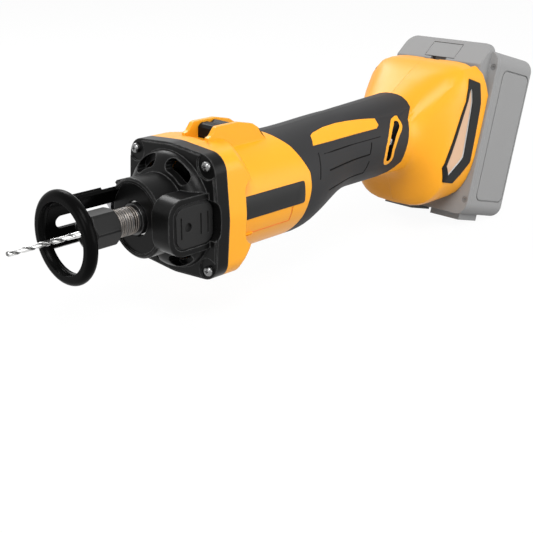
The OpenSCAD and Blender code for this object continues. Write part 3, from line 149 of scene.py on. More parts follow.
class Socket(Enum):
    """Types of the node groups' sockets."""

    FLOAT = "NodeSocketFloat"
    VECTOR = "NodeSocketVector"
    GEOMETRY = "NodeSocketGeometry"
    MATERIAL = "NodeSocketMaterial"
    OBJECT = "NodeSocketObject"
    ROTATION = "NodeSocketRotation"


Inputs = Sequence[tuple[str, Socket, Any]]


def clamped(share: float) -> float:
    """Return a share held between 0 and 1."""
    return min(max(share, 0.0), 1.0)


def ease(share: float) -> float:
    """Return a share between 0 and 1 with a soft start and end."""
    share = clamped(share)
    return share * share * (3.0 - 2.0 * share)


def mixed(first: float, last: float, share: float) -> float:
    """Return the value at a share of the way from one value to another."""
    return first + (last - first) * share


def between(value: float, places: Sequence[float], results: Sequence[float]) -> float:
    """Return the result at a value between rising places.

    Args:
        value: Where to read.
        places: Rising places.
        results: The result at each place.

    Returns:
        The result, held at both ends.
    """
    if value <= places[0]:
        return results[0]
    for low, high, first, last in zip(places, places[1:], results, results[1:]):
        if value <= high:
            return mixed(first, last, (value - low) / (high - low))
    return results[-1]


def about_axis(x: float, radius: float, angle: float) -> Vector:
    """Return the point at a radius and an angle about the tool's axis."""
    return Vector((x, radius * math.cos(angle), radius * math.sin(angle)))


def grey(value: float) -> Color:
    """Return a neutral colour."""
    return (value, value, value)


def opaque(color: Color) -> list[float]:
    """Return a colour as a node's socket takes it."""
    return [*color, 1.0]


class NodeTree:
    """Adds nodes to a shader or geometry tree and links them."""

    def __init__(self, tree: bpy.types.NodeTree) -> None:
        """Keep the tree that the nodes go into."""
        self.tree = tree

    @classmethod
    def emptied(cls, owner: Any) -> "NodeTree":
        """Return the tree of a material or a world, without the nodes that it starts with.

        Args:
            owner: The material or the world.

        Returns:
            The tree.
        """
        owner.use_nodes = True
        owner.node_tree.nodes.clear()
        return cls(owner.node_tree)

    def feed(self, node: bpy.types.Node, inputs: dict[Any, Any]) -> None:
        """Give a node's sockets their values and links.

        Args:
            node: The node.
            inputs: Socket values, or output sockets to link from, by socket name or number.
        """
        for key, value in inputs.items():
            if isinstance(value, bpy.types.NodeSocket):
                self.tree.links.new(value, node.inputs[key])
            else:
                node.inputs[key].default_value = value

    def add(self, kind: str, inputs: Optional[dict[Any, Any]] = None, **settings: Any) -> bpy.types.Node:
        """Add one node.

        Args:
            kind: The node's type name.
            inputs: Socket values, or output sockets to link from, by socket name or number.
            settings: Attributes of the node itself.

        Returns:
            The new node.
        """
        node = self.tree.nodes.new(kind)
        for name, value in settings.items():
            setattr(node, name, value)
        self.feed(node, inputs or {})
        return node

    def math(self, operation: str, *values: Any) -> bpy.types.NodeSocket:
        """Return the result of one Math node."""
        return self.add("ShaderNodeMath", dict(enumerate(values)), operation=operation).outputs[0]

    def mix(self, factor: Any, first: Any, second: Any) -> bpy.types.NodeSocket:
        """Return the colour between two colours."""
        node = self.add("ShaderNodeMix", {0: factor, 6: first, 7: second}, data_type="RGBA")
        return node.outputs[2]

    def noise(
        self, vector: Any, scale: Any, detail: float = 2.0, roughness: float = 0.5
    ) -> bpy.types.NodeSocket:
        """Return a noise over the surface."""
        inputs = {"Vector": vector, "Scale": scale, "Detail": detail, "Roughness": roughness}
        return self.add("ShaderNodeTexNoise", inputs).outputs[0]

    def remap(self, value: Any, before: Span, after: Span) -> bpy.types.NodeSocket:
        """Return a value moved from one range to another."""
        return self.add("ShaderNodeMapRange", dict(enumerate((value, *before, *after)))).outputs[0]


class NodeGroup(NodeTree):
    """A node group with named sockets."""

    def __init__(
        self, name: str, inputs: Inputs, outputs: Sequence[tuple[str, Socket]], kind: str = "ShaderNodeTree"
    ) -> None:
        """Start the group.

        Args:
            name: The group's name.
            inputs: Name, type and default value of each input.
            outputs: Name and type of each output.
            kind: Type of the tree.
        """
        super().__init__(bpy.data.node_groups.new(name, kind))
        for label, socket_type, default in inputs:
            socket = self.tree.interface.new_socket(label, in_out="INPUT", socket_type=socket_type.value)
            if default is not None:
                socket.default_value = default
        for label, socket_type in outputs:
            self.tree.interface.new_socket(label, in_out="OUTPUT", socket_type=socket_type.value)
        self.start = self.add("NodeGroupInput").outputs
        self.end = self.add("NodeGroupOutput")


class GrowingGroup(NodeGroup):
    """A Geometry Nodes group that has the inputs Geometry and Finish beside its own."""

    def __init__(self, name: str, inputs: Inputs) -> None:
        """Start the group.

        Args:
            name: The group's name.
            inputs: Name, type and default value of each input of its own.
        """
        sockets = [("Geometry", Socket.GEOMETRY, None), *inputs, ("Finish", Socket.MATERIAL, None)]
        super().__init__(name, sockets, [("Geometry", Socket.GEOMETRY)], "GeometryNodeTree")

    def swept(self, curve: Any, sides: int, radius: Any) -> bpy.types.NodeSocket:
        """Return a bar along a curve, with closed ends.

        Args:
            curve: The curve.
            sides: How many sides the bar has.
            radius: The bar's radius.

        Returns:
            The bar's geometry.
        """
        profile = self.add("GeometryNodeCurvePrimitiveCircle", {"Resolution": sides, "Radius": radius})
        inputs = {"Curve": curve, "Profile Curve": profile.outputs[0], "Fill Caps": True}
        return self.add("GeometryNodeCurveToMesh", inputs).outputs[0]

    def ended(self, geometry: bpy.types.NodeSocket) -> bpy.types.NodeTree:
        """End the group in real geometry that wears the finish.

        Args:
            geometry: What the group has made.

        Returns:
            The group's tree.
        """
        real = self.add("GeometryNodeRealizeInstances", {0: geometry}).outputs[0]
        dressed = self.add("GeometryNodeSetMaterial", {"Geometry": real, "Material": self.start["Finish"]})
        self.feed(self.end, {0: dressed.outputs[0]})
        return self.tree


class SharedEffects:
    """Shader node groups that several finishes place with their own values."""

    edge_turn: Span = (0.995, 0.86)
    spot_range: Span = (0.3, 0.62)
    spot_breakup: Span = (0.25, 1.0)
    tone_scale: float = 45.0
    brush_stretch: tuple[float, float, float] = (0.03, 1.0, 1.0)
    coarse_share: float = 0.6
    wave_distortion: float = 0.3
    track_width: float = 0.03

    def __init__(self) -> None:
        """Build every group once."""
        self.edge_wear_and_highlight = self._edge_wear_and_highlight()
        self.grain = {pattern: self._grain(pattern) for pattern in Pattern}

    def _edge_wear_and_highlight(self) -> bpy.types.NodeTree:
        """Build the group that rounds edges in the light and masks a line along them, which finishes paint as
        a highlight, in part rubbed wear.

        Returns:
            The node group, with outputs Mask and Normal.
        """
        inputs = [
            ("Vector", Socket.VECTOR, None),
            ("Radius", Socket.FLOAT, 0.4 * MM),
            ("Breakup", Socket.FLOAT, 300.0),
            ("Amount", Socket.FLOAT, 0.5),
        ]
        group = NodeGroup("Rubbed edges", inputs, [("Mask", Socket.FLOAT), ("Normal", Socket.VECTOR)])
        bevel = group.add("ShaderNodeBevel", {"Radius": group.start["Radius"]}, samples=4).outputs[0]
        face = group.add("ShaderNodeNewGeometry").outputs["Normal"]
        turn = group.add("ShaderNodeVectorMath", {0: bevel, 1: face}, operation="DOT_PRODUCT")
        edge = group.remap(turn.outputs["Value"], self.edge_turn, (0.0, 1.0))
        spots = group.noise(group.start["Vector"], group.start["Breakup"], detail=3.0)
        # The mask marks the line that finishes paint lighter: a painted edge highlight, in part rubbed wear.
        worn_and_lit = group.math("MULTIPLY", edge, group.remap(spots, self.spot_range, self.spot_breakup))
        mask = group.math("MULTIPLY", worn_and_lit, group.start["Amount"])
        group.feed(group.end, {"Mask": mask, "Normal": bevel})
        return group.tree

    def _grain(self, pattern: Pattern) -> bpy.types.NodeTree:
        """Build the group of one surface pattern.

        Args:
            pattern: Which pattern the group makes.

        Returns:
            The node group, with outputs Height and Tone.
        """
        group = NodeGroup(
            f"Surface {pattern.value}",
            [("Vector", Socket.VECTOR, None), ("Scale", Socket.FLOAT, 1000.0)],
            [("Height", Socket.FLOAT), ("Tone", Socket.FLOAT)],
        )
        vector, scale = group.start["Vector"], group.start["Scale"]
        placed = {"Vector": vector, "Scale": scale}
        if pattern is Pattern.MOULDED:
            height = group.noise(vector, scale, detail=3.0, roughness=0.7)
        elif pattern is Pattern.STIPPLED:
            cells = group.add("ShaderNodeTexVoronoi", placed, feature="F1").outputs["Distance"]
            height = group.math("SUBTRACT", 1.0, cells)
        elif pattern is Pattern.BRUSHED:
            drawn = group.add("ShaderNodeMapping", {"Vector": vector, "Scale": self.brush_stretch}).outputs[0]
            height = group.noise(drawn, scale, detail=4.0)
        elif pattern is Pattern.CAST:
            coarse = group.noise(vector, scale, detail=6.0, roughness=0.75)
            pits = group.add("ShaderNodeTexVoronoi", placed, feature="SMOOTH_F1").outputs["Distance"]
            height = group.math("MULTIPLY_ADD", coarse, self.coarse_share, pits)
        elif pattern is Pattern.LAYERED:
            layers = {**placed, "Distortion": self.wave_distortion}
            height = group.add("ShaderNodeTexWave", layers, bands_direction="X").outputs["Fac"]
        else:
            tracks = {**placed, "Mortar Size": self.track_width}
            height = group.add("ShaderNodeTexBrick", tracks).outputs["Fac"]
        tone = height
        if pattern in (Pattern.MOULDED, Pattern.STIPPLED, Pattern.CAST):
            tone = group.noise(vector, self.tone_scale, detail=4.0, roughness=0.6)
        group.feed(group.end, {"Height": height, "Tone": tone})
        return group.tree


@dataclass(frozen=True)
class Finish:
    """One finish of the tool: its colour, gloss and surface pattern."""

    name: str
    slot: str
    color: Color
    roughness: float
    pattern: Pattern = Pattern.MOULDED
    metallic: float = 0.0
    grain_scale: float = 2600.0
    bump: float = 0.12
    bump_depth: float = 0.04 * MM
    tone_share: float = 0.06
    gloss_share: float = 0.08
    # Colour of the line along the edges: a painted edge highlight, in part rubbed wear.
    edge_color: Optional[Color] = None
    edge_radius: float = 0.4 * MM
    edge_amount: float = 0.35
    coat: float = 0.0
    specular: float = 0.4
    recess_tone: float = 0.0

    def _toned(self, share: float) -> list[float]:
        """Return the colour made darker or lighter by a share."""
        return opaque(tuple(min(1.0, c * (1.0 + share)) for c in self.color))

    def material(self, effects: SharedEffects) -> bpy.types.Material:
        """Build the procedural material of this finish.

        Args:
            effects: The shared shader node groups.

        Returns:
            The material.
        """
        material = bpy.data.materials.new(self.name)
        tree = NodeTree.emptied(material)
        place = tree.add("ShaderNodeTexCoord").outputs["Object"]
        values = {"Vector": place, "Scale": self.grain_scale}
        grain = tree.add("ShaderNodeGroup", values, node_tree=effects.grain[self.pattern]).outputs
        values = {"Vector": place, "Radius": self.edge_radius, "Amount": self.edge_amount}
        wear_and_highlight = tree.add("ShaderNodeGroup", values, node_tree=effects.edge_wear_and_highlight).outputs
        swing = 2.0 * self.tone_share
        base = tree.mix(grain["Tone"], self._toned(-swing), self._toned(swing))
        # Painted highlight: the edge line takes the edge colour, lighter than the body on most finishes, in
        # part rubbed wear.
        if self.edge_color:
            base = tree.mix(wear_and_highlight["Mask"], base, opaque(self.edge_color))
        # Painted shade: darker in recesses, by the recess attribute.
        if self.recess_tone:
            recess = tree.add("ShaderNodeAttribute", attribute_name=RECESS_SHADE).outputs["Fac"]
            base = tree.mix(recess, base, self._toned(-self.recess_tone))
        glossy, dull = self.roughness - self.gloss_share, self.roughness + self.gloss_share
        relief = {
            "Strength": self.bump,
            "Distance": self.bump_depth,
            "Height": grain["Height"],
            "Normal": wear_and_highlight["Normal"],
        }
        surface = {
            "Base Color": base,
            "Roughness": tree.remap(grain["Tone"], (0.0, 1.0), (glossy, dull)),
            "Normal": tree.add("ShaderNodeBump", relief).outputs[0],
            "Metallic": self.metallic,
            "Coat Weight": self.coat,
            "Specular IOR Level": self.specular,
        }
        shader = tree.add("ShaderNodeBsdfPrincipled", surface)
        tree.add("ShaderNodeOutputMaterial", {"Surface": shader.outputs[0]})
        return material


def brushed(name: str, slot: str, color: Color, roughness: float, **changes: Any) -> Finish:
    """Return a finish of brushed bare metal."""
    return Finish(name, slot, color, roughness, Pattern.BRUSHED, metallic=1.0, **changes)


# Most edge colours below are lighter than their finish: painted highlights along the edges, in part rubbed
# wear.
YELLOW = Finish(
    "Yellow housing plastic", "yellow_plastic", (0.86, 0.355, 0.013), 0.36, tone_share=0.02, gloss_share=0.05,
    edge_color=(0.95, 0.5, 0.06), edge_radius=0.7 * MM, specular=0.3,
)
BLACK_COVER = Finish(
    "Black front cover", "cast_alloy", grey(0.004), 0.3, Pattern.CAST, grain_scale=1400.0, bump=0.08,
    edge_color=grey(0.14), edge_radius=0.9 * MM, edge_amount=0.7, specular=0.1,
)
BLACK_FOOT = Finish(
    "Black guide foot", "black_metal", grey(0.002), 0.24,
    edge_color=grey(0.004), edge_radius=0.6 * MM, specular=0.03,
)
BLACK_NUT = Finish(
    "Blackened nut", "black_metal", grey(0.008), 0.34, Pattern.BRUSHED, metallic=0.4, grain_scale=1500.0,
    edge_color=grey(0.16), specular=0.2,
)
BLACK_PLASTIC = Finish(
    "Black switch plastic", "black_plastic", grey(0.006), 0.42, edge_color=grey(0.03), specular=0.07,
)
PAD_GREY = Finish(
    "Dark grey lock pad", "grey_plastic", grey(0.012), 0.45, edge_color=grey(0.08), specular=0.16,
)
GRIP = Finish(
    "Charcoal grip rubber", "grip_rubber", (0.019, 0.019, 0.02), 0.58, Pattern.STIPPLED, grain_scale=2200.0,
    bump=0.16, edge_color=grey(0.05), edge_radius=0.5 * MM, edge_amount=0.25, specular=0.2,
)
# Painted shade: the dark line laid in the grip's grooves.
GRIP_GROOVE_SHADE = Finish("Black grip line", "grip_rubber", grey(0.003), 0.6, specular=0.06)
BUMPER = Finish(
    "Black bumper rubber", "grip_rubber", grey(0.005), 0.48, Pattern.STIPPLED, grain_scale=1800.0,
    edge_color=grey(0.04), specular=0.18,
)
INSERT = Finish(
    "Beige bumper insert", "beige_plastic", (0.6, 0.385, 0.25), 0.62, Pattern.STIPPLED, grain_scale=1600.0,
    bump=0.1, edge_color=grey(0.45), edge_radius=0.8 * MM, edge_amount=0.8,
)
PALE_BEVEL = Finish("Pale insert bevel", "beige_plastic", grey(0.42), 0.5, tone_share=0.02, specular=0.3)
PACK_GREY = Finish(
    "Grey pack plastic", "pack_plastic", grey(0.25), 0.6, tone_share=0.02,
    edge_color=grey(0.42), edge_radius=0.9 * MM, edge_amount=0.45, specular=0.25,
)
BRIGHT_STEEL = brushed(
    "Bright steel", "bright_steel", (0.6, 0.6, 0.59), 0.26,
    grain_scale=2400.0, bump=0.06, edge_color=grey(0.85),
)
# Its flutes are painted darker by their depth: painted shade.
BIT_STEEL = brushed("Ground bit steel", "bright_steel", (0.66, 0.66, 0.65), 0.2, bump=0.04, recess_tone=0.9)
STEEL = brushed("Plain steel", "steel", (0.36, 0.36, 0.37), 0.34, grain_scale=1800.0, edge_color=grey(0.6))
THREAD_STEEL = brushed("Thread steel", "steel", (0.24, 0.215, 0.195), 0.36, grain_scale=1800.0)
OILED_STEEL = brushed(
    "Oiled spindle steel", "steel", grey(0.12), 0.36, grain_scale=1800.0, edge_color=grey(0.3),
)
SCREW_STEEL = brushed(
    "Dark screw steel", "steel", grey(0.22), 0.3, grain_scale=2400.0,
    edge_color=grey(0.75), edge_radius=0.3 * MM, edge_amount=0.7,
)
PACK_SCREW = Finish("Grey coated screws", "steel", grey(0.2), 0.5, metallic=0.3, specular=0.25)
CORE = Finish(
    "Stacked core sheets", "core_steel", (0.2, 0.2, 0.21), 0.45, Pattern.LAYERED, metallic=1.0,
    grain_scale=320.0, bump=0.4,
)
COPPER = Finish(
    "Enamelled copper", "copper", (0.62, 0.24, 0.1), 0.3, Pattern.LAYERED, metallic=1.0,
    grain_scale=230.0, bump=0.6,
)
BRASS = brushed("Contact brass", "brass", (0.72, 0.5, 0.18), 0.3)
BOARD = Finish(
    "Green circuit board", "board_green", (0.02, 0.16, 0.06), 0.35, Pattern.PRINTED,
    grain_scale=180.0, tone_share=0.2,
)
CELL_WRAP = Finish("Blue cell wrap", "cell_wrap", (0.04, 0.16, 0.42), 0.3, coat=0.3)
PLATE = Finish(
    "Bare name plate", "black_plastic", grey(0.012), 0.4, tone_share=0.04,
    edge_color=grey(0.06), edge_radius=0.3 * MM, specular=0.2,
)
ORANGE_LINE = Finish(
    "Orange moulded line", "yellow_plastic", (0.78, 0.19, 0.01), 0.45, tone_share=0.02, specular=0.3,
)


@dataclass(frozen=True)
class Piece:
    """Name of a piece, the body that carries it, its finish and the nodes that it stands for."""

    name: str
    body: Body
    finish: Finish
    replaces: tuple[str, ...] = ()


def new_object(name: str, data: Any) -> bpy.types.Object:
    """Return a new object of the scene.

    Args:
        name: The object's name.
        data: The mesh, lamp or camera that it holds.

    Returns:
        The object.
    """
    item = bpy.data.objects.new(name, data)
    bpy.context.scene.collection.objects.link(item)
    return item


def new_mesh(
    name: str,
    points: Sequence[Sequence[float]],
    edges: Sequence[tuple[int, ...]] = (),
    faces: Sequence[tuple[int, ...]] = (),
) -> bpy.types.Mesh:
    """Return a mesh of points and what joins them.

    Args:
        name: The mesh's name.
        points: Its points, in metres.
        edges: Its loose edges.
        faces: Its faces.

    Returns:
        The mesh.
    """
    mesh = bpy.data.meshes.new(name)
    mesh.from_pydata([tuple(p) for p in points], list(edges), list(faces))
    return mesh


def modified(
    mesh: bpy.types.Mesh, kind: str, settings: dict[str, Any], inputs: Optional[dict[str, Any]] = None
) -> bpy.types.Mesh:
    """Return a plain mesh with one modifier applied.

    Args:
        mesh: The mesh to start from.
        kind: The modifier's type.
        settings: Attributes of the modifier.
        inputs: Values of a node group's inputs, by socket identifier.

    Returns:
        The new mesh.
    """
    holder = new_object("holder", mesh)
    modifier = holder.modifiers.new("Work", kind)
    for name, value in settings.items():
        setattr(modifier, name, value)
    for identifier, value in (inputs or {}).items():
        modifier[identifier] = value
    bpy.context.view_layer.update()
    graph = bpy.context.evaluated_depsgraph_get()
    source = holder.evaluated_get(graph)
    result = bpy.data.meshes.new_from_object(source, preserve_all_data_layers=True, depsgraph=graph)
    bpy.data.objects.remove(holder)
    return result


def merged(mesh: bpy.types.Mesh) -> bmesh.types.BMesh:
    """Return a mesh as a shape to work on.

    Args:
        mesh: The mesh, which stays as it is.

    Returns:
        The shape, with its doubled points merged.
    """
    shape = bmesh.new()
    shape.from_mesh(mesh)
    bmesh.ops.remove_doubles(shape, verts=shape.verts, dist=MERGE_DISTANCE)
    return shape


def shade(shape: bmesh.types.BMesh, angle: float) -> None:
    """Shade a shape smooth, in one finish.

    Args:
        shape: The shape.
        angle: Edges that turn more than this many degrees stay sharp.
    """
    limit = math.radians(angle)
    for face in shape.faces:
        face.smooth = True
        face.material_index = 0
    for edge in shape.edges:
        edge.smooth = edge.is_manifold and edge.calc_face_angle(math.pi) < limit


def lofted(name: str, rings: Sequence[Sequence[Vector]], angle: float) -> bpy.types.Mesh:
    """Join rings of as many points each into one closed, smooth shaded skin.

    Args:
        name: The mesh's name.
        rings: The rings, from one end to the other.
        angle: Edges that turn more than this many degrees stay sharp.

    Returns:
        The mesh, its faces outward.
    """
    count = len(rings[0])
    last = (len(rings) - 1) * count
    faces = [
        (i + j, i + (j + 1) % count, i + count + (j + 1) % count, i + count + j)
        for i in range(0, last, count)
        for j in range(count)
    ]
    faces += [tuple(reversed(range(count))), tuple(range(last, last + count))]
    mesh = new_mesh(name, [p for ring in rings for p in ring], faces=faces)
    shape = merged(mesh)
    bmesh.ops.recalc_face_normals(shape, faces=shape.faces)
    shade(shape, angle)
    shape.to_mesh(mesh)
    shape.free()
    return mesh


def line_group() -> bpy.types.NodeTree:
    """Return the Geometry Nodes group that draws a round line along the seed's edges.

    Returns:
        The group's tree, made on first use.
    """
    name = "Line along edges"
    if name in bpy.data.node_groups:
        return bpy.data.node_groups[name]
    group = GrowingGroup(name, [("Width", Socket.FLOAT, 1.0 * MM)])
    path = group.add("GeometryNodeMeshToCurve", {"Mesh": group.start["Geometry"]}).outputs[0]
    radius = group.math("MULTIPLY", group.start["Width"], 0.5)
    return group.ended(group.swept(path, sides=12, radius=radius))


class Workshop:
    """Makes pieces from the frame's nodes and reports them."""

    flat_weight: int = 80
    spring_angle: float = 40.0

    def __init__(self, frame: dict[str, Any]) -> None:
        """Keep the frame and build the shared shader groups."""
        self.frame = frame
        self.effects = SharedEffects()
        self.materials: dict[str, bpy.types.Material] = {}

    def node_mesh(self, node: str) -> bpy.types.Mesh:
        """Return the mesh of a node of the frame."""
        return self.frame["nodes"][node].data

    def material(self, finish: Finish) -> bpy.types.Material:
        """Return the finish's material, made on first use."""
        if finish.name not in self.materials:
            self.materials[finish.name] = finish.material(self.effects)
        return self.materials[finish.name]

    def _dress(self, mesh: bpy.types.Mesh, finish: Finish) -> None:
        """Give a mesh one finish in place of what it has."""
        mesh.materials.clear()
        mesh.materials.append(self.material(finish))

    def paint(self, finishes: dict[str, Finish]) -> None:
        """Give nodes of the frame their finishes.

        Args:
            finishes: The finish of each node, by the node's name.
        """
        for node, finish in finishes.items():
            self._dress(self.node_mesh(node), finish)
            LOG.info("painted %s: %s", node, finish.name)

    def fit(self, mesh: bpy.types.Mesh, piece: Piece) -> bpy.types.Object:
        """Turn a mesh, in its place, into a finished piece that rides on a body.

        Args:
            mesh: The mesh.
            piece: What the piece is.

        Returns:
            The piece's object.
        """
        mesh.name = piece.name
        self._dress(mesh, piece.finish)
        item = new_object(piece.name, mesh)
        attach(item, piece.body.value)
        if piece.replaces:
            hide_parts(*piece.replaces)
        LOG.info("fitted %s on %s: %s", piece.name, piece.body.value, piece.finish.name)
        return item

    def grow(
        self, group: bpy.types.NodeTree, seed: bpy.types.Mesh, values: dict[str, Any], piece: Piece
    ) -> None:
        """Run a Geometry Nodes group on a seed mesh and fit what it grows.

        Args:
            group: The node group.
            seed: The mesh that it starts from.
            values: Its inputs beside the finish, by socket name.
            piece: What the grown piece is.
        """
        values = {**values, "Finish": self.material(piece.finish)}
        inputs = {
            item.identifier: values[item.name]
            for item in group.interface.items_tree
            if item.in_out == "INPUT" and item.name in values
        }
        self.fit(modified(seed, "NODES", {"node_group": group}, inputs), piece)

    def line(
        self, piece: Piece, width: float, points: Sequence[Vector], edges: Sequence[tuple[int, ...]]
    ) -> None:
        """Lay a round line along edges.

        Args:
            piece: What the line is.
            width: The line's width.
            points: Points on its middle.
            edges: Which points it joins, two by two.
        """
        self.grow(line_group(), new_mesh("line_seed", points, edges), {"Width": width}, piece)

    def smooth(
        self,
        node: str,
        body: Body,
        finish: Finish,
        angle: float,
        form: Optional[Form] = None,
        dropped: Optional[FaceTest] = None,
    ) -> bpy.types.Object:
        """Stand a smooth shaded copy in for a node whose facets would show.

        Args:
            node: The node's name.
            body: The body that carries it.
            finish: What it is finished in.
            angle: Edges that turn more than this many degrees stay sharp.
            form: Moves each of the copy's points to its fuller form.
            dropped: Tells which faces another piece takes the place of.

        Returns:
            The copy.
        """
        mesh = self.node_mesh(node).copy()
        shape = merged(mesh)
        bmesh.ops.dissolve_degenerate(shape, dist=MERGE_DISTANCE, edges=shape.edges)
        if dropped:
            bmesh.ops.delete(shape, geom=[f for f in shape.faces if dropped(f)], context="FACES")
        if form:
            for point in shape.verts:
                point.co = form(point.co)
            shape.normal_update()
        shade(shape, angle)
        shape.to_mesh(mesh)
        shape.free()
        found = mesh.attributes.get("custom_normal")
        if found:
            mesh.attributes.remove(found)
        # Normals weighted by the faces' areas keep the flats flat beside their rounded edges
        weighted = modified(mesh, "WEIGHTED_NORMAL", {"keep_sharp": True, "weight": self.flat_weight})
        return self.fit(weighted, Piece(f"{node}_skin", body, finish, (node,)))

    def spring(self, node: str, body: Body) -> None:
        """Stand in a smooth shaded copy of a spring, with a mesh of its own.

        Args:
            node: The spring's node.
            body: The body that its far end rests on.
        """
        coil = self.smooth(node, body, STEEL, self.spring_angle)
        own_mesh(coil)


@dataclass
class SpindleThread:
    """Thread of the spindle between the nut and the nose, wound by Geometry Nodes."""

    start: float = 28.7 * MM
    end: float = 41.6 * MM
    radius: float = 6.6 * MM
    pitch: float = 1.3 * MM
    ridge: float = 0.5 * MM
    ridge_sides: int = 4
    steps_per_turn: int = 48

    def build(self, shop: Workshop) -> None:
        """Wind the thread along X and let it turn with the spindle.

        Args:
            shop: The workshop that finishes it.
        """
        sizes = {
            "Radius": self.radius,
            "Start": self.start,
            "Length": self.end - self.start,
            "Pitch": self.pitch,
            "Ridge": self.ridge,
        }
        group = GrowingGroup("Wound thread", [(name, Socket.FLOAT, size) for name, size in sizes.items()])
        radius, length = group.start["Radius"], group.start["Length"]
        spiral = {
            "Resolution": self.steps_per_turn,
            "Rotations": group.math("DIVIDE", length, group.start["Pitch"]),
            "Start Radius": radius,
            "End Radius": radius,
            "Height": length,
        }
        helix = group.add("GeometryNodeCurveSpiral", spiral).outputs[0]
        place = group.add("ShaderNodeCombineXYZ", {0: group.start["Start"]}).outputs[0]
        turn = {
            "Geometry": group.swept(helix, self.ridge_sides, group.start["Ridge"]),
            "Translation": place,
            "Rotation": (0.0, math.pi / 2.0, 0.0),
        }
        turned = group.add("GeometryNodeTransform", turn).outputs[0]
        piece = Piece("spindle_thread", Body.SPINDLE, THREAD_STEEL)
        shop.grow(group.ended(turned), bpy.data.meshes.new("thread_seed"), sizes, piece)


@dataclass
class CutterBit:
    """Spiral bit, its nut, collet and spindle."""

    diameter: float = 3.175 * MM
    length: float = 63.5 * MM
    reach: float = 28.0 * MM
    cutting_diameter: float = 2.7 * MM
    core_share: float = 0.68
    flute_length: float = 38.0 * MM
    flute_turns: float = 2.4
    flute_half_angle: float = 36.0
    flute_power: float = 0.6
    runout_share: float = 0.125
    tip_length: float = 0.5 * MM
    tip_share: float = 0.8
    neck_length: float = 1.0 * MM
    ring_points: int = 48
    rings: int = 150
    bit_angle: float = 40.0
    nut_angle: float = 20.0
    spindle_angle: float = 25.0

    def _ring(self, x: float) -> list[Vector]:
        """Return one cross-section of the bit.

        Args:
            x: Its place along the axis.

        Returns:
            The cross-section's points.
        """
        along = clamped((x + self.reach) / self.flute_length)
        fade = min(1.0, (1.0 - along) / self.runout_share)
        turn = 2.0 * math.pi * self.flute_turns * along
        tip = min(1.0, mixed(self.tip_share, 1.0, (x + self.reach) / self.tip_length))
        full = mixed(self.diameter, self.cutting_diameter, fade) / 2.0 * tip
        ring = []
        for i in range(self.ring_points):
            angle = 2.0 * math.pi * i / self.ring_points
            off = abs((math.degrees(angle) % 180.0) - 90.0) / self.flute_half_angle
            cut = fade * (1.0 - self.core_share) * max(0.0, 1.0 - off * off) ** self.flute_power
            ring.append(about_axis(x, full * (1.0 - cut), angle + turn))
        return ring

    def _bit(self, shop: Workshop) -> None:
        """Build the fluted bit and mark how deep its flutes are, for the painted shade in them.

        Args:
            shop: The workshop that finishes it.
        """
        places = [self.flute_length * i / self.rings for i in range(self.rings + 1)]
        places += [self.flute_length + self.neck_length, self.length]
        mesh = lofted("spiral_bit", [self._ring(x - self.reach) for x in places], self.bit_angle)
        radius = self.cutting_diameter / 2.0
        deepest = radius * (1.0 - self.core_share)
        depths = [clamped((radius - math.hypot(v.co.y, v.co.z)) / deepest) for v in mesh.vertices]
        mesh.attributes.new(RECESS_SHADE, "FLOAT", "POINT").data.foreach_set("value", depths)
        shop.fit(mesh, Piece("spiral_bit", Body.BIT, BIT_STEEL, ("cutting_bit",)))

    def build(self, shop: Workshop) -> None:
        """Build the bit and dress what holds it.

        Args:
            shop: The workshop that finishes the pieces.
        """
        self._bit(shop)
        shop.smooth("collet_nut", Body.NUT, BLACK_NUT, self.nut_angle)
        shop.smooth("spindle", Body.SPINDLE, OILED_STEEL, self.spindle_angle)
        shop.smooth("collet", Body.SPINDLE, STEEL, self.spindle_angle)
        SpindleThread().build(shop)
        shop.paint({"lock_collar": STEEL, "fan": BLACK_PLASTIC, "rotor": CORE})


@dataclass
class GuideFoot:
    """Foot ring with its arm and clamp screw."""

    smooth_angle: float = 24.0

    def build(self, shop: Workshop) -> None:
        """Dress the foot and its clamp screw."""
        shop.smooth("guide_foot", Body.GUIDE, BLACK_FOOT, self.smooth_angle)
        shop.smooth("guide_clamp_screw", Body.CLAMP, STEEL, self.smooth_angle)


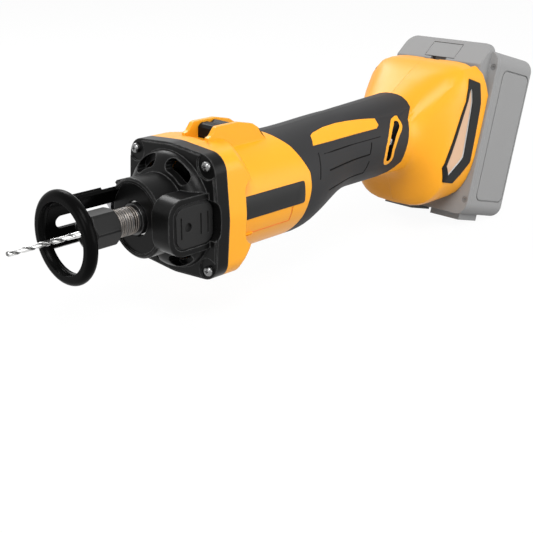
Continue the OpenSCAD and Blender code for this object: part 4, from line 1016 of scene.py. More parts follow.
@dataclass
class ScrewSet:
    """Equal cross-recess screws, set on points by Geometry Nodes."""

    seats: Sequence[Vector]
    direction: Vector
    head_radius: float
    head_height: float
    shank_length: float
    shank_share: float = 0.5
    shank_end_share: float = 0.45
    shank_end_length_share: float = 0.1
    head_radius_shares: tuple[float, ...] = (0.97, 1.0, 1.0, 0.93, 0.78, 0.6)
    head_height_shares: tuple[float, ...] = (0.0, 0.04, 0.42, 0.7, 0.9, 1.0)
    recess_radius_shares: tuple[float, ...] = (0.52, 0.46, 0.2)
    recess_height_shares: tuple[float, ...] = (1.0, 0.55, 0.4)
    recess_core_share: float = 0.3
    recess_power: float = 2.5
    sides: int = 48
    sharp_angle: float = 35.0

    def _ring(self, radius: float, height: float, crossed: bool = False) -> list[Vector]:
        """Return one ring of a screw.

        Args:
            radius: The ring's radius.
            height: Its height along the screw.
            crossed: Whether it is a cross or a circle.

        Returns:
            The ring's points.
        """
        ring = []
        for i in range(self.sides):
            angle = 2.0 * math.pi * i / self.sides
            arm = abs(math.cos(2.0 * angle)) ** self.recess_power
            reach = radius * (mixed(self.recess_core_share, 1.0, arm) if crossed else 1.0)
            ring.append(Vector((reach * math.cos(angle), reach * math.sin(angle), height)))
        return ring

    def _template(self) -> bpy.types.Object:
        """Build one screw for the others to follow.

        Returns:
            The screw, of unit head radius, with its head towards +Z.
        """
        rise = self.head_height / self.head_radius
        deep = self.shank_length / self.head_radius
        rings = [
            self._ring(self.shank_end_share, -deep),
            self._ring(self.shank_share, self.shank_end_length_share - deep),
            self._ring(self.shank_share, 0.0),
        ]
        for radius, height in zip(self.head_radius_shares, self.head_height_shares):
            rings.append(self._ring(radius, height * rise))
        for radius, height in zip(self.recess_radius_shares, self.recess_height_shares):
            rings.append(self._ring(radius, height * rise, True))
        return new_object("screw_template", lofted("screw_template", rings, self.sharp_angle))

    def build(self, shop: Workshop, piece: Piece) -> None:
        """Set the screws and make them one piece.

        Args:
            shop: The workshop that finishes the piece.
            piece: What the piece is.
        """
        inputs = [
            ("Screw", Socket.OBJECT, None),
            ("Turn", Socket.ROTATION, None),
            ("Head radius", Socket.FLOAT, 1.0),
        ]
        group = GrowingGroup("Screws on seats", inputs)
        screw = group.add("GeometryNodeObjectInfo", {"Object": group.start["Screw"]}).outputs["Geometry"]
        size = group.add("ShaderNodeCombineXYZ", {axis: group.start["Head radius"] for axis in range(3)})
        setting = {
            "Points": group.start["Geometry"],
            "Instance": screw,
            "Rotation": group.start["Turn"],
            "Scale": size.outputs[0],
        }
        placed = group.add("GeometryNodeInstanceOnPoints", setting).outputs[0]
        template = self._template()
        values = {
            "Screw": template,
            "Turn": tuple(self.direction.to_track_quat("Z", "Y").to_euler()),
            "Head radius": self.head_radius,
        }
        shop.grow(group.ended(placed), new_mesh("screw_seats", self.seats), values, piece)
        bpy.data.objects.remove(template)


@dataclass
class FrontCover:
    """Black front cover with its screws, bearing and spindle lock."""

    smooth_angle: float = 24.0
    screw_pitch: float = 53.4 * MM
    screw_plane: float = 68.0 * MM
    head_radius: float = 2.6 * MM
    head_height: float = 2.4 * MM
    shank_length: float = 16.0 * MM

    def build(self, shop: Workshop) -> None:
        """Dress the cover and the lock, and set the screws.

        Args:
            shop: The workshop that finishes the pieces.
        """
        shop.smooth("front_cover", Body.TOOL, BLACK_COVER, self.smooth_angle)
        shop.smooth("lock_button", Body.LOCK, PAD_GREY, self.smooth_angle)
        half = self.screw_pitch / 2.0
        seats = [Vector((self.screw_plane, y, z)) for y in (-half, half) for z in (-half, half)]
        forward = Vector((-1.0, 0.0, 0.0))
        screws = ScrewSet(seats, forward, self.head_radius, self.head_height, self.shank_length)
        screws.build(shop, Piece("cover_screw_set", Body.TOOL, SCREW_STEEL, ("cover_screws",)))
        shop.paint({"front_bearing": BRIGHT_STEEL, "bearing_clip": STEEL, "lock_pin": STEEL})
        shop.spring("lock_spring", Body.TOOL)


@dataclass
class HousingBlock:
    """Front block of the housing: corner towers with a waist between them on both sides."""

    front: float = 75.5 * MM
    waist_start: float = 87.0 * MM
    rear: float = 96.5 * MM
    skirt: float = 98.3 * MM
    barrel_radius: float = 29.58 * MM
    barrel_slack: float = 0.1 * MM
    lining_radius: float = 28.0 * MM
    half_width: float = 32.3 * MM
    corner_radius: float = 10.0 * MM
    bulge_radius: float = 34.0 * MM
    straight_share: float = 0.3
    round_power: float = 1.4
    round_over: float = 1.0 * MM
    round_under: float = 0.6 * MM
    guard_half_width: float = 9.9 * MM
    guard_angle: float = 73.0
    guard_slack: float = 0.2 * MM
    channel_slack: float = 0.05 * MM
    waist_x_shares: tuple[float, ...] = (0.0, 0.06, 0.25, 0.5, 0.75, 0.94, 1.1)
    waist_z_shares: tuple[float, ...] = (0.34, 0.42, 0.49, 0.535, 0.575, 0.63, 0.7)
    steepest_share: float = 0.99
    settling_rounds: int = 6
    front_step: float = 1.0 * MM
    rear_step: float = 0.3 * MM
    columns: tuple[int, ...] = (26, 16, 64, 16, 26)
    waist_spans: tuple[int, int] = (1, 3)
    lining_columns: int = 60
    sharp_angle: float = 34.0

    def outline(self, angle: float) -> float:
        """Return how far the cover's outline reaches at an angle about the axis.

        Args:
            angle: The angle, in radians.

        Returns:
            The outline's radius there: a round corner, and flats to the bulge between two corners.
        """
        corner, bulge = self.corner_radius, self.bulge_radius
        centre = (self.half_width - corner) * math.sqrt(2.0)
        turn = abs((angle % (math.pi / 2.0)) - math.pi / 4.0)
        reach = math.acos((bulge - corner) / centre)
        x, y = centre + corner * math.cos(reach), corner * math.sin(reach)
        if turn <= math.atan2(y, x):
            return centre * math.cos(turn) + math.sqrt(corner**2 - (centre * math.sin(turn)) ** 2)
        first, last = (bulge * Vector((math.cos(a), math.sin(a))) for a in (reach, math.pi / 4.0))
        here, there = (Vector((x, y)), first) if turn <= reach else (first, last)
        along = there - here
        return (here.x * along.y - here.y * along.x) / (math.cos(turn) * along.y - math.sin(turn) * along.x)

    def _rounding(self, x: float) -> float:
        """Return how far the rounded rear lets the block reach.

        Args:
            x: The place along the axis.

        Returns:
            The largest radius there.
        """
        corner = (self.half_width - self.corner_radius) * math.sqrt(2.0) + self.corner_radius
        share = (x - self.front) / (self.rear - self.front)
        along = clamped((share - self.straight_share) / (1.0 - self.straight_share))
        angle = math.asin(along ** (1.0 / self.round_power))
        low, high = self.barrel_radius - self.round_under, corner + self.round_over
        return mixed(low, high, math.cos(angle) ** self.round_power)

    def radius(self, x: float, angle: float) -> float:
        """Return the block's uncut radius.

        Args:
            x: The place along the axis.
            angle: The angle about it, in radians.

        Returns:
            The radius, at least the barrel's.
        """
        if x >= self.rear:
            return self.barrel_radius
        return max(self.barrel_radius, min(self.outline(angle), self._rounding(x)))

    def waist(self, x: float) -> float:
        """Return half of the waist's height at a place along the axis."""
        share = (x - self.waist_start) / (self.rear - self.waist_start)
        return self.half_width * between(share, self.waist_x_shares, self.waist_z_shares)

    def covers(self, face: bmesh.types.BMFace) -> bool:
        """Return whether the block's skin takes the place of a face of the frame's housing.

        Args:
            face: The face.

        Returns:
            Whether it lies on the block and is no part of the switch guard or its channel.
        """
        places = [v.co for v in face.verts]
        if max(p.x for p in places) > self.skirt:
            return False
        if min(math.hypot(p.y, p.z) for p in places) < self.barrel_radius - self.barrel_slack:
            return False
        aside = [abs(p.y) if p.z > 0.0 else math.inf for p in places]
        on_guard = max(aside) < self.guard_half_width + self.guard_slack
        in_channel = min(aside) < self.guard_half_width - self.channel_slack
        return not on_guard and not in_channel

    def _ring(self, x: float, cut: bool) -> list[Vector]:
        """Return one ring of the skin, open at the switch guard's channel.

        Args:
            x: Its place along the axis.
            cut: Whether the waist is cut there.

        Returns:
            The ring's points, round the outside and back along the lining.
        """
        edge = self.waist(max(x, self.waist_start))
        inner = outer = math.asin(edge / self.barrel_radius)
        for _ in range(self.settling_rounds):
            outer = math.asin(min(self.steepest_share, edge / self.radius(x, outer)))
        side = math.acos(self.guard_half_width / self.radius(x, math.radians(self.guard_angle)))
        low = inner if cut else outer
        half, full = math.pi, 2.0 * math.pi
        spans = (
            (half - side, half - outer),
            (half - low, half + low),
            (half + outer, full - outer),
            (full - low, full + low),
            (full + outer, full + side),
        )
        ring = []
        for number, ((start, end), count) in enumerate(zip(spans, self.columns)):
            in_waist = cut and number in self.waist_spans
            for i in range(count + 1):
                angle = mixed(start, end, i / count)
                ring.append(about_axis(x, self.barrel_radius if in_waist else self.radius(x, angle), angle))
        hidden = math.acos(self.guard_half_width / self.lining_radius)
        for i in range(self.lining_columns + 1):
            angle = mixed(full + hidden, half - hidden, i / self.lining_columns)
            ring.append(about_axis(x, self.lining_radius, angle))
        return ring

    def build(self, shop: Workshop) -> None:
        """Build the block's skin over the housing.

        Args:
            shop: The workshop that finishes it.
        """
        rings = []
        stretches = (
            (self.front, self.waist_start, self.front_step, False),
            (self.waist_start, self.rear, self.rear_step, True),
        )
        for start, end, step, cut in stretches:
            steps = round((end - start) / step)
            rings += [self._ring(mixed(start, end, i / steps), cut) for i in range(steps + 1)]
        rings.append([Vector((self.skirt, p.y, p.z)) for p in rings[-1]])
        mesh = lofted("housing_block", rings, self.sharp_angle)
        shop.fit(mesh, Piece("housing_block", Body.TOOL, YELLOW))


def drawn_in(point: Vector, front: float, low: float, length_share: float, height_share: float) -> Vector:
    """Return a point drawn in towards a front and a base.

    Args:
        point: The point.
        front: The place along the axis that stays.
        low: The height that stays.
        length_share: What is left of the length behind the front.
        height_share: What is left of the height over the base.

    Returns:
        The moved point.
    """
    return Vector((mixed(front, point.x, length_share), point.y, mixed(low, point.z, height_share)))


@dataclass
class MotorHousing:
    """Yellow motor housing with its bare plate and the switch."""

    smooth_angle: float = 24.0
    guard_front: float = 84.0 * MM
    guard_rear: float = 126.0 * MM
    guard_half_width: float = 10.05 * MM
    channel_floor: float = 31.25 * MM
    guard_length_share: float = 37.5 / 41.0
    guard_height_share: float = 10.2 / 11.0
    slider_front: float = 92.5 * MM
    slider_low: float = 31.55 * MM
    slider_length_share: float = 26.5 / 30.0
    slider_height_share: float = 7.6 / 8.2
    barrel_radius: float = 29.6 * MM
    plate_front: float = 88.0 * MM
    plate_rear: float = 134.9 * MM
    plate_low: float = -5.2 * MM
    plate_high: float = 6.9 * MM
    plate_corner: float = 1.4 * MM
    plate_corner_steps: int = 6
    plate_step: float = 1.0 * MM
    plate_proud: float = 0.25 * MM
    plate_sunk: float = 0.6 * MM
    plate_wall_share: float = 0.6
    plate_top_shares: tuple[float, ...] = (0.99, 0.75, 0.5, 0.25, 0.02)
    plate_angle: float = 40.0
    line_width: float = 1.1 * MM
    line_sunk: float = 0.3 * MM
    line_places: tuple[Place, ...] = (
        (88.5 * MM, -13.9 * MM),
        (124.8 * MM, -13.9 * MM),
        (125.6 * MM, -13.6 * MM),
        (125.85 * MM, -12.8 * MM),
        (125.85 * MM, -5.8 * MM),
    )

    def _plate_outline(self) -> list[Place]:
        """Return the plate's outline in side view, with round corners.

        Returns:
            The outline's places along the barrel and their heights.
        """
        r = self.plate_corner
        front, rear = self.plate_front + r, self.plate_rear - r
        low, high = self.plate_low + r, self.plate_high - r
        outline: list[Place] = []
        for quarter, (x, z) in enumerate(((rear, high), (front, high), (front, low), (rear, low))):
            for step in range(self.plate_corner_steps + 1):
                angle = math.pi / 2.0 * (quarter + step / self.plate_corner_steps)
                outline.append((x + r * math.cos(angle), z + r * math.sin(angle)))
        fine: list[Place] = []
        for (x0, z0), (x1, z1) in zip(outline, outline[1:] + outline[:1]):
            parts = max(1, round(math.hypot(x1 - x0, z1 - z0) / self.plate_step))
            fine += [(mixed(x0, x1, i / parts), mixed(z0, z1, i / parts)) for i in range(parts)]
        return fine

    def _on_barrel(self, x: float, z: float, lift: float) -> Vector:
        """Return a place on the barrel's left side.

        Args:
            x: The place along the axis.
            z: The height on the barrel.
            lift: How far the place is lifted off the barrel.

        Returns:
            The place.
        """
        radius = self.barrel_radius + lift
        side = math.sqrt(max(self.barrel_radius**2 - z**2, 0.0)) / self.barrel_radius
        return Vector((x, -radius * side, radius * z / self.barrel_radius))

    def _plate(self, shop: Workshop) -> None:
        """Build the bare plate that lies on the barrel's left side.

        Args:
            shop: The workshop that finishes it.
        """
        outline = self._plate_outline()
        middle_x = (self.plate_front + self.plate_rear) / 2.0
        middle_z = (self.plate_low + self.plate_high) / 2.0
        levels = [(1.0, -self.plate_sunk), (1.0, self.plate_wall_share * self.plate_proud)]
        levels += [(share, self.plate_proud) for share in self.plate_top_shares]
        rings = [
            [self._on_barrel(mixed(middle_x, x, share), mixed(middle_z, z, share), lift) for x, z in outline]
            for share, lift in levels
        ]
        shop.fit(lofted("bare_plate", rings, self.plate_angle), Piece("bare_plate", Body.TOOL, PLATE))

    def _lines(self, shop: Workshop) -> None:
        """Lay the orange lines in their grooves on both sides of the barrel.

        Args:
            shop: The workshop that finishes them.
        """
        places = [self._on_barrel(x, z, -self.line_sunk) for x, z in self.line_places]
        edges = [(i, i + 1) for i in range(len(places) - 1)]
        for side in Side:
            piece = Piece(f"orange_line_{side.value}", Body.TOOL, ORANGE_LINE)
            shop.line(piece, self.line_width, [side.carry(p) for p in places], edges)

    def _lower_guard(self, point: Vector) -> Vector:
        """Return a point of the housing with the switch guard drawn in.

        Args:
            point: The point.

        Returns:
            The point, moved if it is on the guard.
        """
        along = self.guard_front < point.x < self.guard_rear
        if not along or abs(point.y) > self.guard_half_width or point.z <= self.channel_floor:
            return point
        shares = self.guard_length_share, self.guard_height_share
        return drawn_in(point, self.guard_front, self.barrel_radius, *shares)

    def _lower_slider(self, point: Vector) -> Vector:
        """Return a point of the slider drawn in like its guard.

        Args:
            point: The point.

        Returns:
            The point, moved if it is over the channel.
        """
        if point.z < self.slider_low:
            return point
        shares = self.slider_length_share, self.slider_height_share
        return drawn_in(point, self.slider_front, self.slider_low, *shares)

    def build(self, shop: Workshop) -> None:
        """Dress the housing and the switch, and fit the block, the plate and the lines.

        Args:
            shop: The workshop that finishes the pieces.
        """
        block = HousingBlock()
        shop.smooth("motor_housing", Body.TOOL, YELLOW, self.smooth_angle, self._lower_guard, block.covers)
        block.build(shop)
        self._plate(shop)
        self._lines(shop)
        shop.smooth("switch_slider", Body.SLIDER, BLACK_PLASTIC, self.smooth_angle, self._lower_slider)
        shop.paint({
            "stator_core": CORE,
            "stator_windings": COPPER,
            "rear_bearing": BRIGHT_STEEL,
            "rear_bearing_holder": BLACK_PLASTIC,
            "switch_rod": BLACK_PLASTIC,
            "switch_module": BLACK_PLASTIC,
        })


@dataclass(frozen=True)
class ReceiverForm:
    """Fuller crown of the receiver and squarer end of the grip, as a move of the shells' loft."""

    flare_start: float = 238.0 * MM
    flare_length: float = 27.0 * MM
    lean_share: float = math.tan(PACK_LEAN)
    lean_height: float = 5.0 * MM
    grip_radius: float = 23.0 * MM
    grip_rise: float = 9.0 * MM
    half_width: float = 36.0 * MM
    half_height: float = 43.5 * MM
    full_half_height: float = 44.0 * MM
    rise: float = 6.5 * MM
    full_rise: float = 7.0 * MM
    round_power: float = 2.0
    power: float = 3.2
    crown_power: float = 6.5
    core_share: float = 0.72
    skin_share: float = 0.92
    edge_rear: float = 239.0 * MM
    edge_sweep: float = 27.0 * MM
    edge_fade: float = 40.0 * MM
    vent_fade: float = 9.0 * MM
    vent_height_share: float = 0.55
    vent_fade_share: float = 0.3
    edge_height_shares: tuple[float, ...] = (-1.5, -1.09, -0.78, 0.35, 0.63, 1.08, 1.5)
    edge_sweep_shares: tuple[float, ...] = (1.2, 1.0, 0.63, 0.0, 0.0, 0.48, 0.6)
    full_height_shares: tuple[float, ...] = (-1.5, -1.0, -0.75, -0.5, -0.23, 0.1, 0.33, 0.58, 0.75, 1.05, 1.5)
    full_sweep_shares: tuple[float, ...] = (1.45, 1.0, 0.5, 0.29, 0.28, 0.2, 0.14, 0.06, -0.12, -0.2, -0.2)
    search_reach: float = 40.0 * MM
    search_rounds: int = 40

    def _grown(self, station: float) -> float:
        """Return how far the loft has grown from grip to receiver at a station."""
        return ease((station - self.flare_start) / self.flare_length)

    def _leaning(self, station: float, z: float) -> float:
        """Return where a point at a station and a height lies along the axis."""
        return station + self.lean_share * self._grown(station) * (z - self.lean_height)

    def _station(self, x: float, z: float) -> float:
        """Return the loft's station that a point of the leaning receiver lies on.

        Args:
            x: The point's place along the axis.
            z: The point's height.

        Returns:
            The station, found by halving.
        """
        low, high = x - self.search_reach, x + self.search_reach
        for _ in range(self.search_rounds):
            middle = (low + high) / 2.0
            if self._leaning(middle, z) < x:
                low = middle
            else:
                high = middle
        return (low + high) / 2.0

    def _edge_shift(self, station: float, z: float) -> float:
        """Return how far the grip's rear edge moves.

        Args:
            station: The loft's station.
            z: The height.

        Returns:
            The move along the axis, which fades away from the edge.
        """
        height = (z - self.grip_rise) / self.grip_radius
        sweep = between(height, self.edge_height_shares, self.edge_sweep_shares)
        full_sweep = between(height, self.full_height_shares, self.full_sweep_shares)
        before = self.edge_rear - self.edge_sweep * sweep
        beyond_vent = ease((abs(height) - self.vent_height_share) / self.vent_fade_share)
        fade = mixed(self.vent_fade, self.edge_fade, beyond_vent)
        return self.edge_sweep * (sweep - full_sweep) * (1.0 - ease(abs(station - before) / fade))

    def _section(self, grown: float, half_height: float, rise: float) -> tuple[float, float, float]:
        """Return the loft's section where it has grown so far.

        Args:
            grown: How far the loft has grown from grip to receiver.
            half_height: Half of the receiver's height.
            rise: How high the receiver's middle lies.

        Returns:
            Half of its width, half of its height and the height of its middle.
        """
        wide = mixed(self.grip_radius, self.half_width, grown)
        high = mixed(self.grip_radius, half_height, grown)
        return wide, high, mixed(self.grip_rise, rise, grown)

    def __call__(self, point: Vector) -> Vector:
        """Return where a point of the shells or of what they carry goes.

        Args:
            point: A point of the frame's loft.

        Returns:
            The point in the fuller form.
        """
        if point.x < self.flare_start - 2.0 * self.edge_fade:
            return point
        station = self._station(point.x, point.z)
        grown = self._grown(station)
        wide, high, middle = self._section(grown, self.half_height, self.rise)
        power = mixed(self.round_power, self.power, grown)
        across, up = abs(point.y) / wide, abs(point.z - middle) / high
        share = (across**power + up**power) ** (1.0 / power)
        weight = ease((share - self.core_share) / (self.skin_share - self.core_share))
        if weight == 0.0:
            return point
        moved = station + self._edge_shift(station, point.z)
        grown = self._grown(moved)
        wide, high, full_middle = self._section(grown, self.full_half_height, self.full_rise)
        power = mixed(self.round_power, self.crown_power if point.z > middle else self.power, grown)
        growth = share / (across**power + up**power) ** (1.0 / power)
        y = math.copysign(wide * across * growth, point.y)
        z = full_middle + math.copysign(high * up * growth, point.z - middle)
        return point.lerp(Vector((self._leaning(moved, z), y, z)), weight)


@dataclass
class Handle:
    """Rubber grips, shells and receiver."""

    form: ReceiverForm = ReceiverForm()
    smooth_angle: float = 26.0
    line_width: float = 1.2 * MM
    line_sunk: float = 0.46 * MM
    line_step: float = 2.0 * MM
    line_aside: float = 1.1 * MM
    cast_reach: float = 100.0 * MM
    grip_lines: tuple[tuple[Place, ...], ...] = (
        ((156.0 * MM, 16.5 * MM), (208.0 * MM, 16.9 * MM)),
        ((157.3 * MM, 7.6 * MM), (197.3 * MM, 8.5 * MM), (199.3 * MM, 15.0 * MM)),
        ((157.3 * MM, -3.4 * MM), (195.3 * MM, -2.5 * MM), (197.3 * MM, 4.4 * MM)),
    )
    vent_middle: Place = (218.0 * MM, 12.0 * MM)
    vent_length: float = 27.0 * MM
    vent_x_shares: tuple[float, ...] = (-0.074, -0.076, -0.06, 0.0, 0.08, 0.17, 0.289)
    vent_z_shares: tuple[float, ...] = (-0.34, -0.22, -0.12, 0.0, 0.13, 0.23, 0.33)
    vent_half_width: float = 2.08 * MM
    vent_floor: float = 19.4 * MM
    vent_end_step: int = 30
    vent_screw_reach: float = 4.0 * MM
    vent_screw_lift: float = 3.6 * MM
    lining_wall: float = 0.12 * MM
    lining_sunk: float = 0.15 * MM
    lining_floor: float = 0.4 * MM
    lining_shares: tuple[float, ...] = (0.1, 0.6, 1.0)
    lining_angle: float = 40.0
    bevel_width: float = 1.1 * MM
    bevel_edge_angle: float = 50.0
    bevel_facing: tuple[float, float, float] = (0.8, 0.0, -0.6)
    bevel_facing_share: float = 0.45

    def _vent_outline(self, half_width: float) -> list[Place]:
        """Return the slot's outline in side view, with round ends.

        Args:
            half_width: Half of the slot's width.

        Returns:
            The outline's places along the tool and their heights.
        """
        shares = list(zip(self.vent_x_shares, self.vent_z_shares))
        path = [tuple(m + self.vent_length * s for m, s in zip(self.vent_middle, pair)) for pair in shares]
        last = len(path) - 1

        def off(i: int, turn: float) -> Place:
            """Return the place beside one point of the path, turned so far from the path's heading."""
            (x0, z0), (x1, z1) = path[max(i - 1, 0)], path[min(i + 1, last)]
            angle = math.atan2(z1 - z0, x1 - x0) + math.radians(turn)
            return path[i][0] + half_width * math.cos(angle), path[i][1] + half_width * math.sin(angle)

        outline = [off(i, -90.0) for i in range(last + 1)]
        outline += [off(last, turn) for turn in range(self.vent_end_step - 90, 90, self.vent_end_step)]
        outline += [off(i, 90.0) for i in range(last, -1, -1)]
        return outline + [off(0, turn) for turn in range(self.vent_end_step + 90, 270, self.vent_end_step)]

    def _vent_ring(self, half_width: float, sunk: Optional[float] = None) -> list[Vector]:
        """Return one ring of the left slot's lining.

        Args:
            half_width: Half of the ring's width.
            sunk: How far it lies under the grip's surface, or nothing for the slot's floor.

        Returns:
            The ring's points.
        """
        ring = []
        for x, z in self._vent_outline(half_width):
            out = self.vent_floor
            if sunk is not None:
                out = math.sqrt(self.form.grip_radius**2 - (z - self.form.grip_rise) ** 2) - sunk
            ring.append(Vector((x, -out, z)))
        return ring

    def _vent_linings(self, shop: Workshop) -> None:
        """Build the dark linings of the slots on both sides, closed at the screw's seat: painted shade on the
        slots' walls and floor.

        Args:
            shop: The workshop that finishes them.
        """
        outer, inner = self.vent_half_width, self.vent_half_width - self.lining_wall
        rings = [self._vent_ring(share * inner) for share in self.lining_shares]
        rings += [self._vent_ring(half_width, self.lining_sunk) for half_width in (inner, outer)]
        under = self.lining_floor - self.vent_floor
        for half_width in (outer, self.lining_shares[0] * inner):
            rings.append([Vector((p.x, under, p.z)) for p in self._vent_ring(half_width)])
        # Painted shade: the lining is dark where the slot's inside lies in shade.
        for side in Side:
            name = f"vent_lining_{side.value}"
            mesh = lofted(name, [[side.carry(p) for p in ring] for ring in rings], self.lining_angle)
            shop.fit(mesh, Piece(name, Body.TOOL, BLACK_PLASTIC))

    def _vent_screw(self, shop: Workshop) -> None:
        """Dress the shells' screws and seat the slot's screw on its lining.

        Args:
            shop: The workshop that finishes them.
        """
        screws = shop.smooth("shell_screws", Body.TOOL, BRIGHT_STEEL, self.smooth_angle)
        for point in screws.data.vertices:
            if math.dist((point.co.x, point.co.z), self.vent_middle) < self.vent_screw_reach:
                point.co.y -= self.vent_screw_lift

    def _insert_bevel(self, shop: Workshop, side: Side) -> None:
        """Lay the pale bevel along the rear and the foot of one bumper insert.

        Args:
            shop: The workshop that finishes the bevel.
            side: Which of the two inserts it lies on.
        """
        shape = merged(shop.node_mesh(f"bumper_insert_{side.value}"))
        facing = Vector(self.bevel_facing)
        chosen = []
        for edge in shape.edges:
            if not edge.is_manifold or edge.calc_face_angle(0.0) < math.radians(self.bevel_edge_angle):
                continue
            face, wall = sorted(edge.link_faces, key=lambda f: -abs(f.normal.y))
            outward = face.normal.y * edge.verts[0].co.y > 0.0
            if outward and wall.normal.dot(facing) > self.bevel_facing_share:
                chosen.append(edge)
        points = list(dict.fromkeys(v for edge in chosen for v in edge.verts))
        edges = [tuple(points.index(v) for v in edge.verts) for edge in chosen]
        piece = Piece(f"insert_bevel_{side.value}", Body.TOOL, PALE_BEVEL)
        shop.line(piece, self.bevel_width, [self.form(v.co) for v in points], edges)
        shape.free()

    def _grip_groove_shade(self, shop: Workshop, side: Side) -> None:
        """Lay dark lines along the grooves of one grip: painted shade in the grooves.

        Args:
            shop: The workshop that finishes the lines.
            side: Which of the two grips they lie on.
        """
        grip = merged(shop.node_mesh(f"grip_{side.value}"))
        skin = BVHTree.FromBMesh(grip)
        inward = side.carry(Vector((0.0, 1.0, 0.0)))
        points: list[Vector] = []
        edges: list[tuple[int, int]] = []
        for line in self.grip_lines:
            for number, ((x0, z0), (x1, z1)) in enumerate(zip(line, line[1:])):
                steps = max(2, round(math.hypot(x1 - x0, z1 - z0) / self.line_step))
                aside = Vector((z0 - z1, 0.0, x1 - x0)).normalized() * self.line_aside
                for i in range(1 if number else 0, steps + 1):
                    place = Vector((mixed(x0, x1, i / steps), 0.0, mixed(z0, z1, i / steps)))
                    start = place - inward * self.cast_reach
                    left, right = (skin.ray_cast(start + turn * aside, inward) for turn in (-1.0, 1.0))
                    outward = (left[1] + right[1]).normalized()
                    if number or i:
                        edges.append((len(points) - 1, len(points)))
                    points.append((left[0] + right[0]) / 2.0 - outward * self.line_sunk)
        grip.free()
        shop.line(Piece(f"grip_lines_{side.value}", Body.TOOL, GRIP_GROOVE_SHADE), self.line_width, points, edges)

    def build(self, shop: Workshop) -> None:
        """Dress the grips, the shells and what they carry.

        Args:
            shop: The workshop that finishes the pieces.
        """
        skins = {"shell": YELLOW, "grip": GRIP, "side_bumper": BUMPER, "bumper_insert": INSERT}
        for name, finish in skins.items():
            for side in Side:
                shop.smooth(f"{name}_{side.value}", Body.TOOL, finish, self.smooth_angle, self.form)
        for side in Side:
            self._insert_bevel(shop, side)
            self._grip_groove_shade(shop, side)
        self._vent_screw(shop)
        self._vent_linings(shop)
        shop.paint({
            "control_board": BOARD,
            "board_parts": PAD_GREY,
            "terminal_block": BLACK_PLASTIC,
            "terminal_blades": BRASS,
        })


@dataclass
class BatteryPack:
    """Slide-on pack with its latch."""

    smooth_angle: float = 26.0

    def build(self, shop: Workshop) -> None:
        """Dress the pack's cases, its latch and what they hold.

        Args:
            shop: The workshop that finishes the pieces.
        """
        for node in ("battery_case_front", "battery_case_rear"):
            shop.smooth(node, Body.PACK, PACK_GREY, self.smooth_angle)
        shop.smooth("latch_button", Body.LATCH, PACK_GREY, self.smooth_angle)
        shop.paint({
            "battery_cells": CELL_WRAP,
            "battery_board": BOARD,
            "battery_contacts": BRASS,
            "battery_screws": PACK_SCREW,
        })
        shop.spring("latch_spring", Body.PACK)


@dataclass(frozen=True)
class Lamp:
    """One soft area lamp."""

    name: str
    place: tuple[float, float, float]
    size: float
    power: float


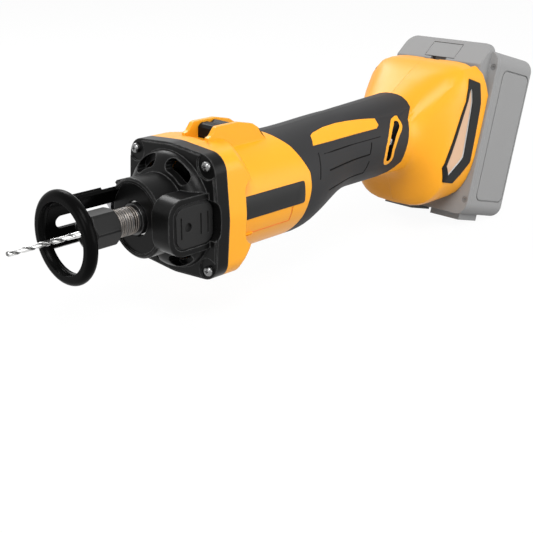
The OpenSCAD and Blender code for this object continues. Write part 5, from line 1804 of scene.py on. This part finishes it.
@dataclass
class Studio:
    """Pale floor, soft lamps and the camera."""

    target: tuple[float, float, float] = (0.13564, 0.0, -0.04964)
    azimuth: float = -45.61
    elevation: float = 20.59
    distance: float = 0.56809
    lens: float = 67.54
    sensor_width: float = 36.0
    clip_start: float = 0.01
    floor_size: float = 6.0
    floor_white: float = 0.95
    floor_bounce: float = 0.45
    floor_tones: tuple[float, float] = (0.93, 0.97)
    speck_scale: float = 60.0
    sky_light: float = 0.42
    lamps: tuple[Lamp, ...] = (
        Lamp("Key", (-0.35, -0.6, 1.05), 0.6, 12.5),
        Lamp("Fill", (0.6, -1.0, 0.25), 0.8, 7.5),
        Lamp("Back", (0.4, 0.8, 0.8), 0.5, 6.0),
        Lamp("Front", (-0.9, -0.15, 0.35), 0.4, 3.0),
    )

    @staticmethod
    def _seen_rays(tree: NodeTree) -> bpy.types.NodeSocket:
        """Return 1 for the rays that should see a white surround.

        Args:
            tree: The tree of the floor or the sky.

        Returns:
            The socket, 1 for camera, glossy and transmission rays.
        """
        path = tree.add("ShaderNodeLightPath").outputs
        seen = tree.math("MAXIMUM", path["Is Camera Ray"], path["Is Glossy Ray"])
        return tree.math("MAXIMUM", seen, path["Is Transmission Ray"])

    def _floor_material(self) -> bpy.types.Material:
        """Build the floor's material.

        Returns:
            The material, which is white to the camera and keeps a shadow.
        """
        material = bpy.data.materials.new("Pale floor")
        tree = NodeTree.emptied(material)
        speck = tree.noise(tree.add("ShaderNodeTexCoord").outputs["Object"], self.speck_scale)
        seen = self._seen_rays(tree)
        pale = tree.mix(speck, *(opaque(grey(tone)) for tone in self.floor_tones))
        color = tree.mix(seen, opaque(grey(self.floor_bounce)), pale)
        matt = tree.add("ShaderNodeBsdfDiffuse", {"Color": color}).outputs[0]
        white = tree.add("ShaderNodeEmission", {"Color": opaque(grey(1.0)), "Strength": 1.0}).outputs[0]
        share = tree.math("MULTIPLY", seen, self.floor_white)
        both = tree.add("ShaderNodeMixShader", {0: share, 1: matt, 2: white}).outputs[0]
        tree.add("ShaderNodeOutputMaterial", {"Surface": both})
        return material

    def _floor(self, height: float) -> None:
        """Build the pale floor.

        Args:
            height: The floor's height.
        """
        half = self.floor_size / 2.0
        corners = [(x, y, height) for x, y in ((-half, -half), (half, -half), (half, half), (-half, half))]
        mesh = new_mesh("floor", corners, faces=[(0, 1, 2, 3)])
        mesh.materials.append(self._floor_material())
        floor = new_object("floor", mesh)
        floor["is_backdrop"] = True

    def _world(self) -> None:
        """Build the white surround."""
        world = bpy.data.worlds.new("Studio white")
        tree = NodeTree.emptied(world)
        strength = tree.remap(self._seen_rays(tree), (0.0, 1.0), (self.sky_light, 1.0))
        sky = tree.add("ShaderNodeBackground", {"Color": opaque(grey(1.0)), "Strength": strength})
        tree.add("ShaderNodeOutputWorld", {"Surface": sky.outputs[0]})
        bpy.context.scene.world = world

    def _aimed(self, name: str, data: Any, place: Vector) -> bpy.types.Object:
        """Return a new lamp or camera that looks at the target.

        Args:
            name: Its name.
            data: The lamp or the camera.
            place: Where it stands.

        Returns:
            The object.
        """
        item = new_object(name, data)
        item.location = place
        item.rotation_euler = (Vector(self.target) - place).to_track_quat("-Z", "Y").to_euler()
        return item

    def _lamps(self) -> None:
        """Hang the soft lamps."""
        for lamp in self.lamps:
            data = bpy.data.lights.new(lamp.name, "AREA")
            data.size = lamp.size
            data.energy = lamp.power
            self._aimed(lamp.name, data, Vector(lamp.place))

    def _camera(self) -> None:
        """Set the camera where the photograph was taken from."""
        data = bpy.data.cameras.new("camera")
        data.lens = self.lens
        data.sensor_width = self.sensor_width
        data.clip_start = self.clip_start
        azimuth, elevation = math.radians(self.azimuth), math.radians(self.elevation)
        level = math.cos(elevation)
        back = Vector((math.sin(azimuth) * level, -math.cos(azimuth) * level, math.sin(elevation)))
        bpy.context.scene.camera = self._aimed("camera", data, Vector(self.target) + self.distance * back)

    def build(self, lowest: float) -> None:
        """Build the studio.

        Args:
            lowest: The object's lowest height, where the floor lies.
        """
        self._floor(lowest)
        self._world()
        self._lamps()
        self._camera()
        bpy.context.scene.view_settings.view_transform = "Standard"


def box_lists() -> list[list[float]]:
    """Return the whole object's box as plain lists."""
    return [[float(v) for v in corner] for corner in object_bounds()]


def main() -> None:
    """Build every sub-assembly in order."""
    logging.basicConfig(level=logging.INFO, format="%(name)s: %(message)s")
    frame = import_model()
    cad_box = box_lists()
    shop = Workshop(frame)
    for assembly in (GuideFoot(), CutterBit(), FrontCover(), MotorHousing(), Handle(), BatteryPack()):
        assembly.build(shop)
    Studio().build(cad_box[0][2])


if __name__ == "__main__":
    main()
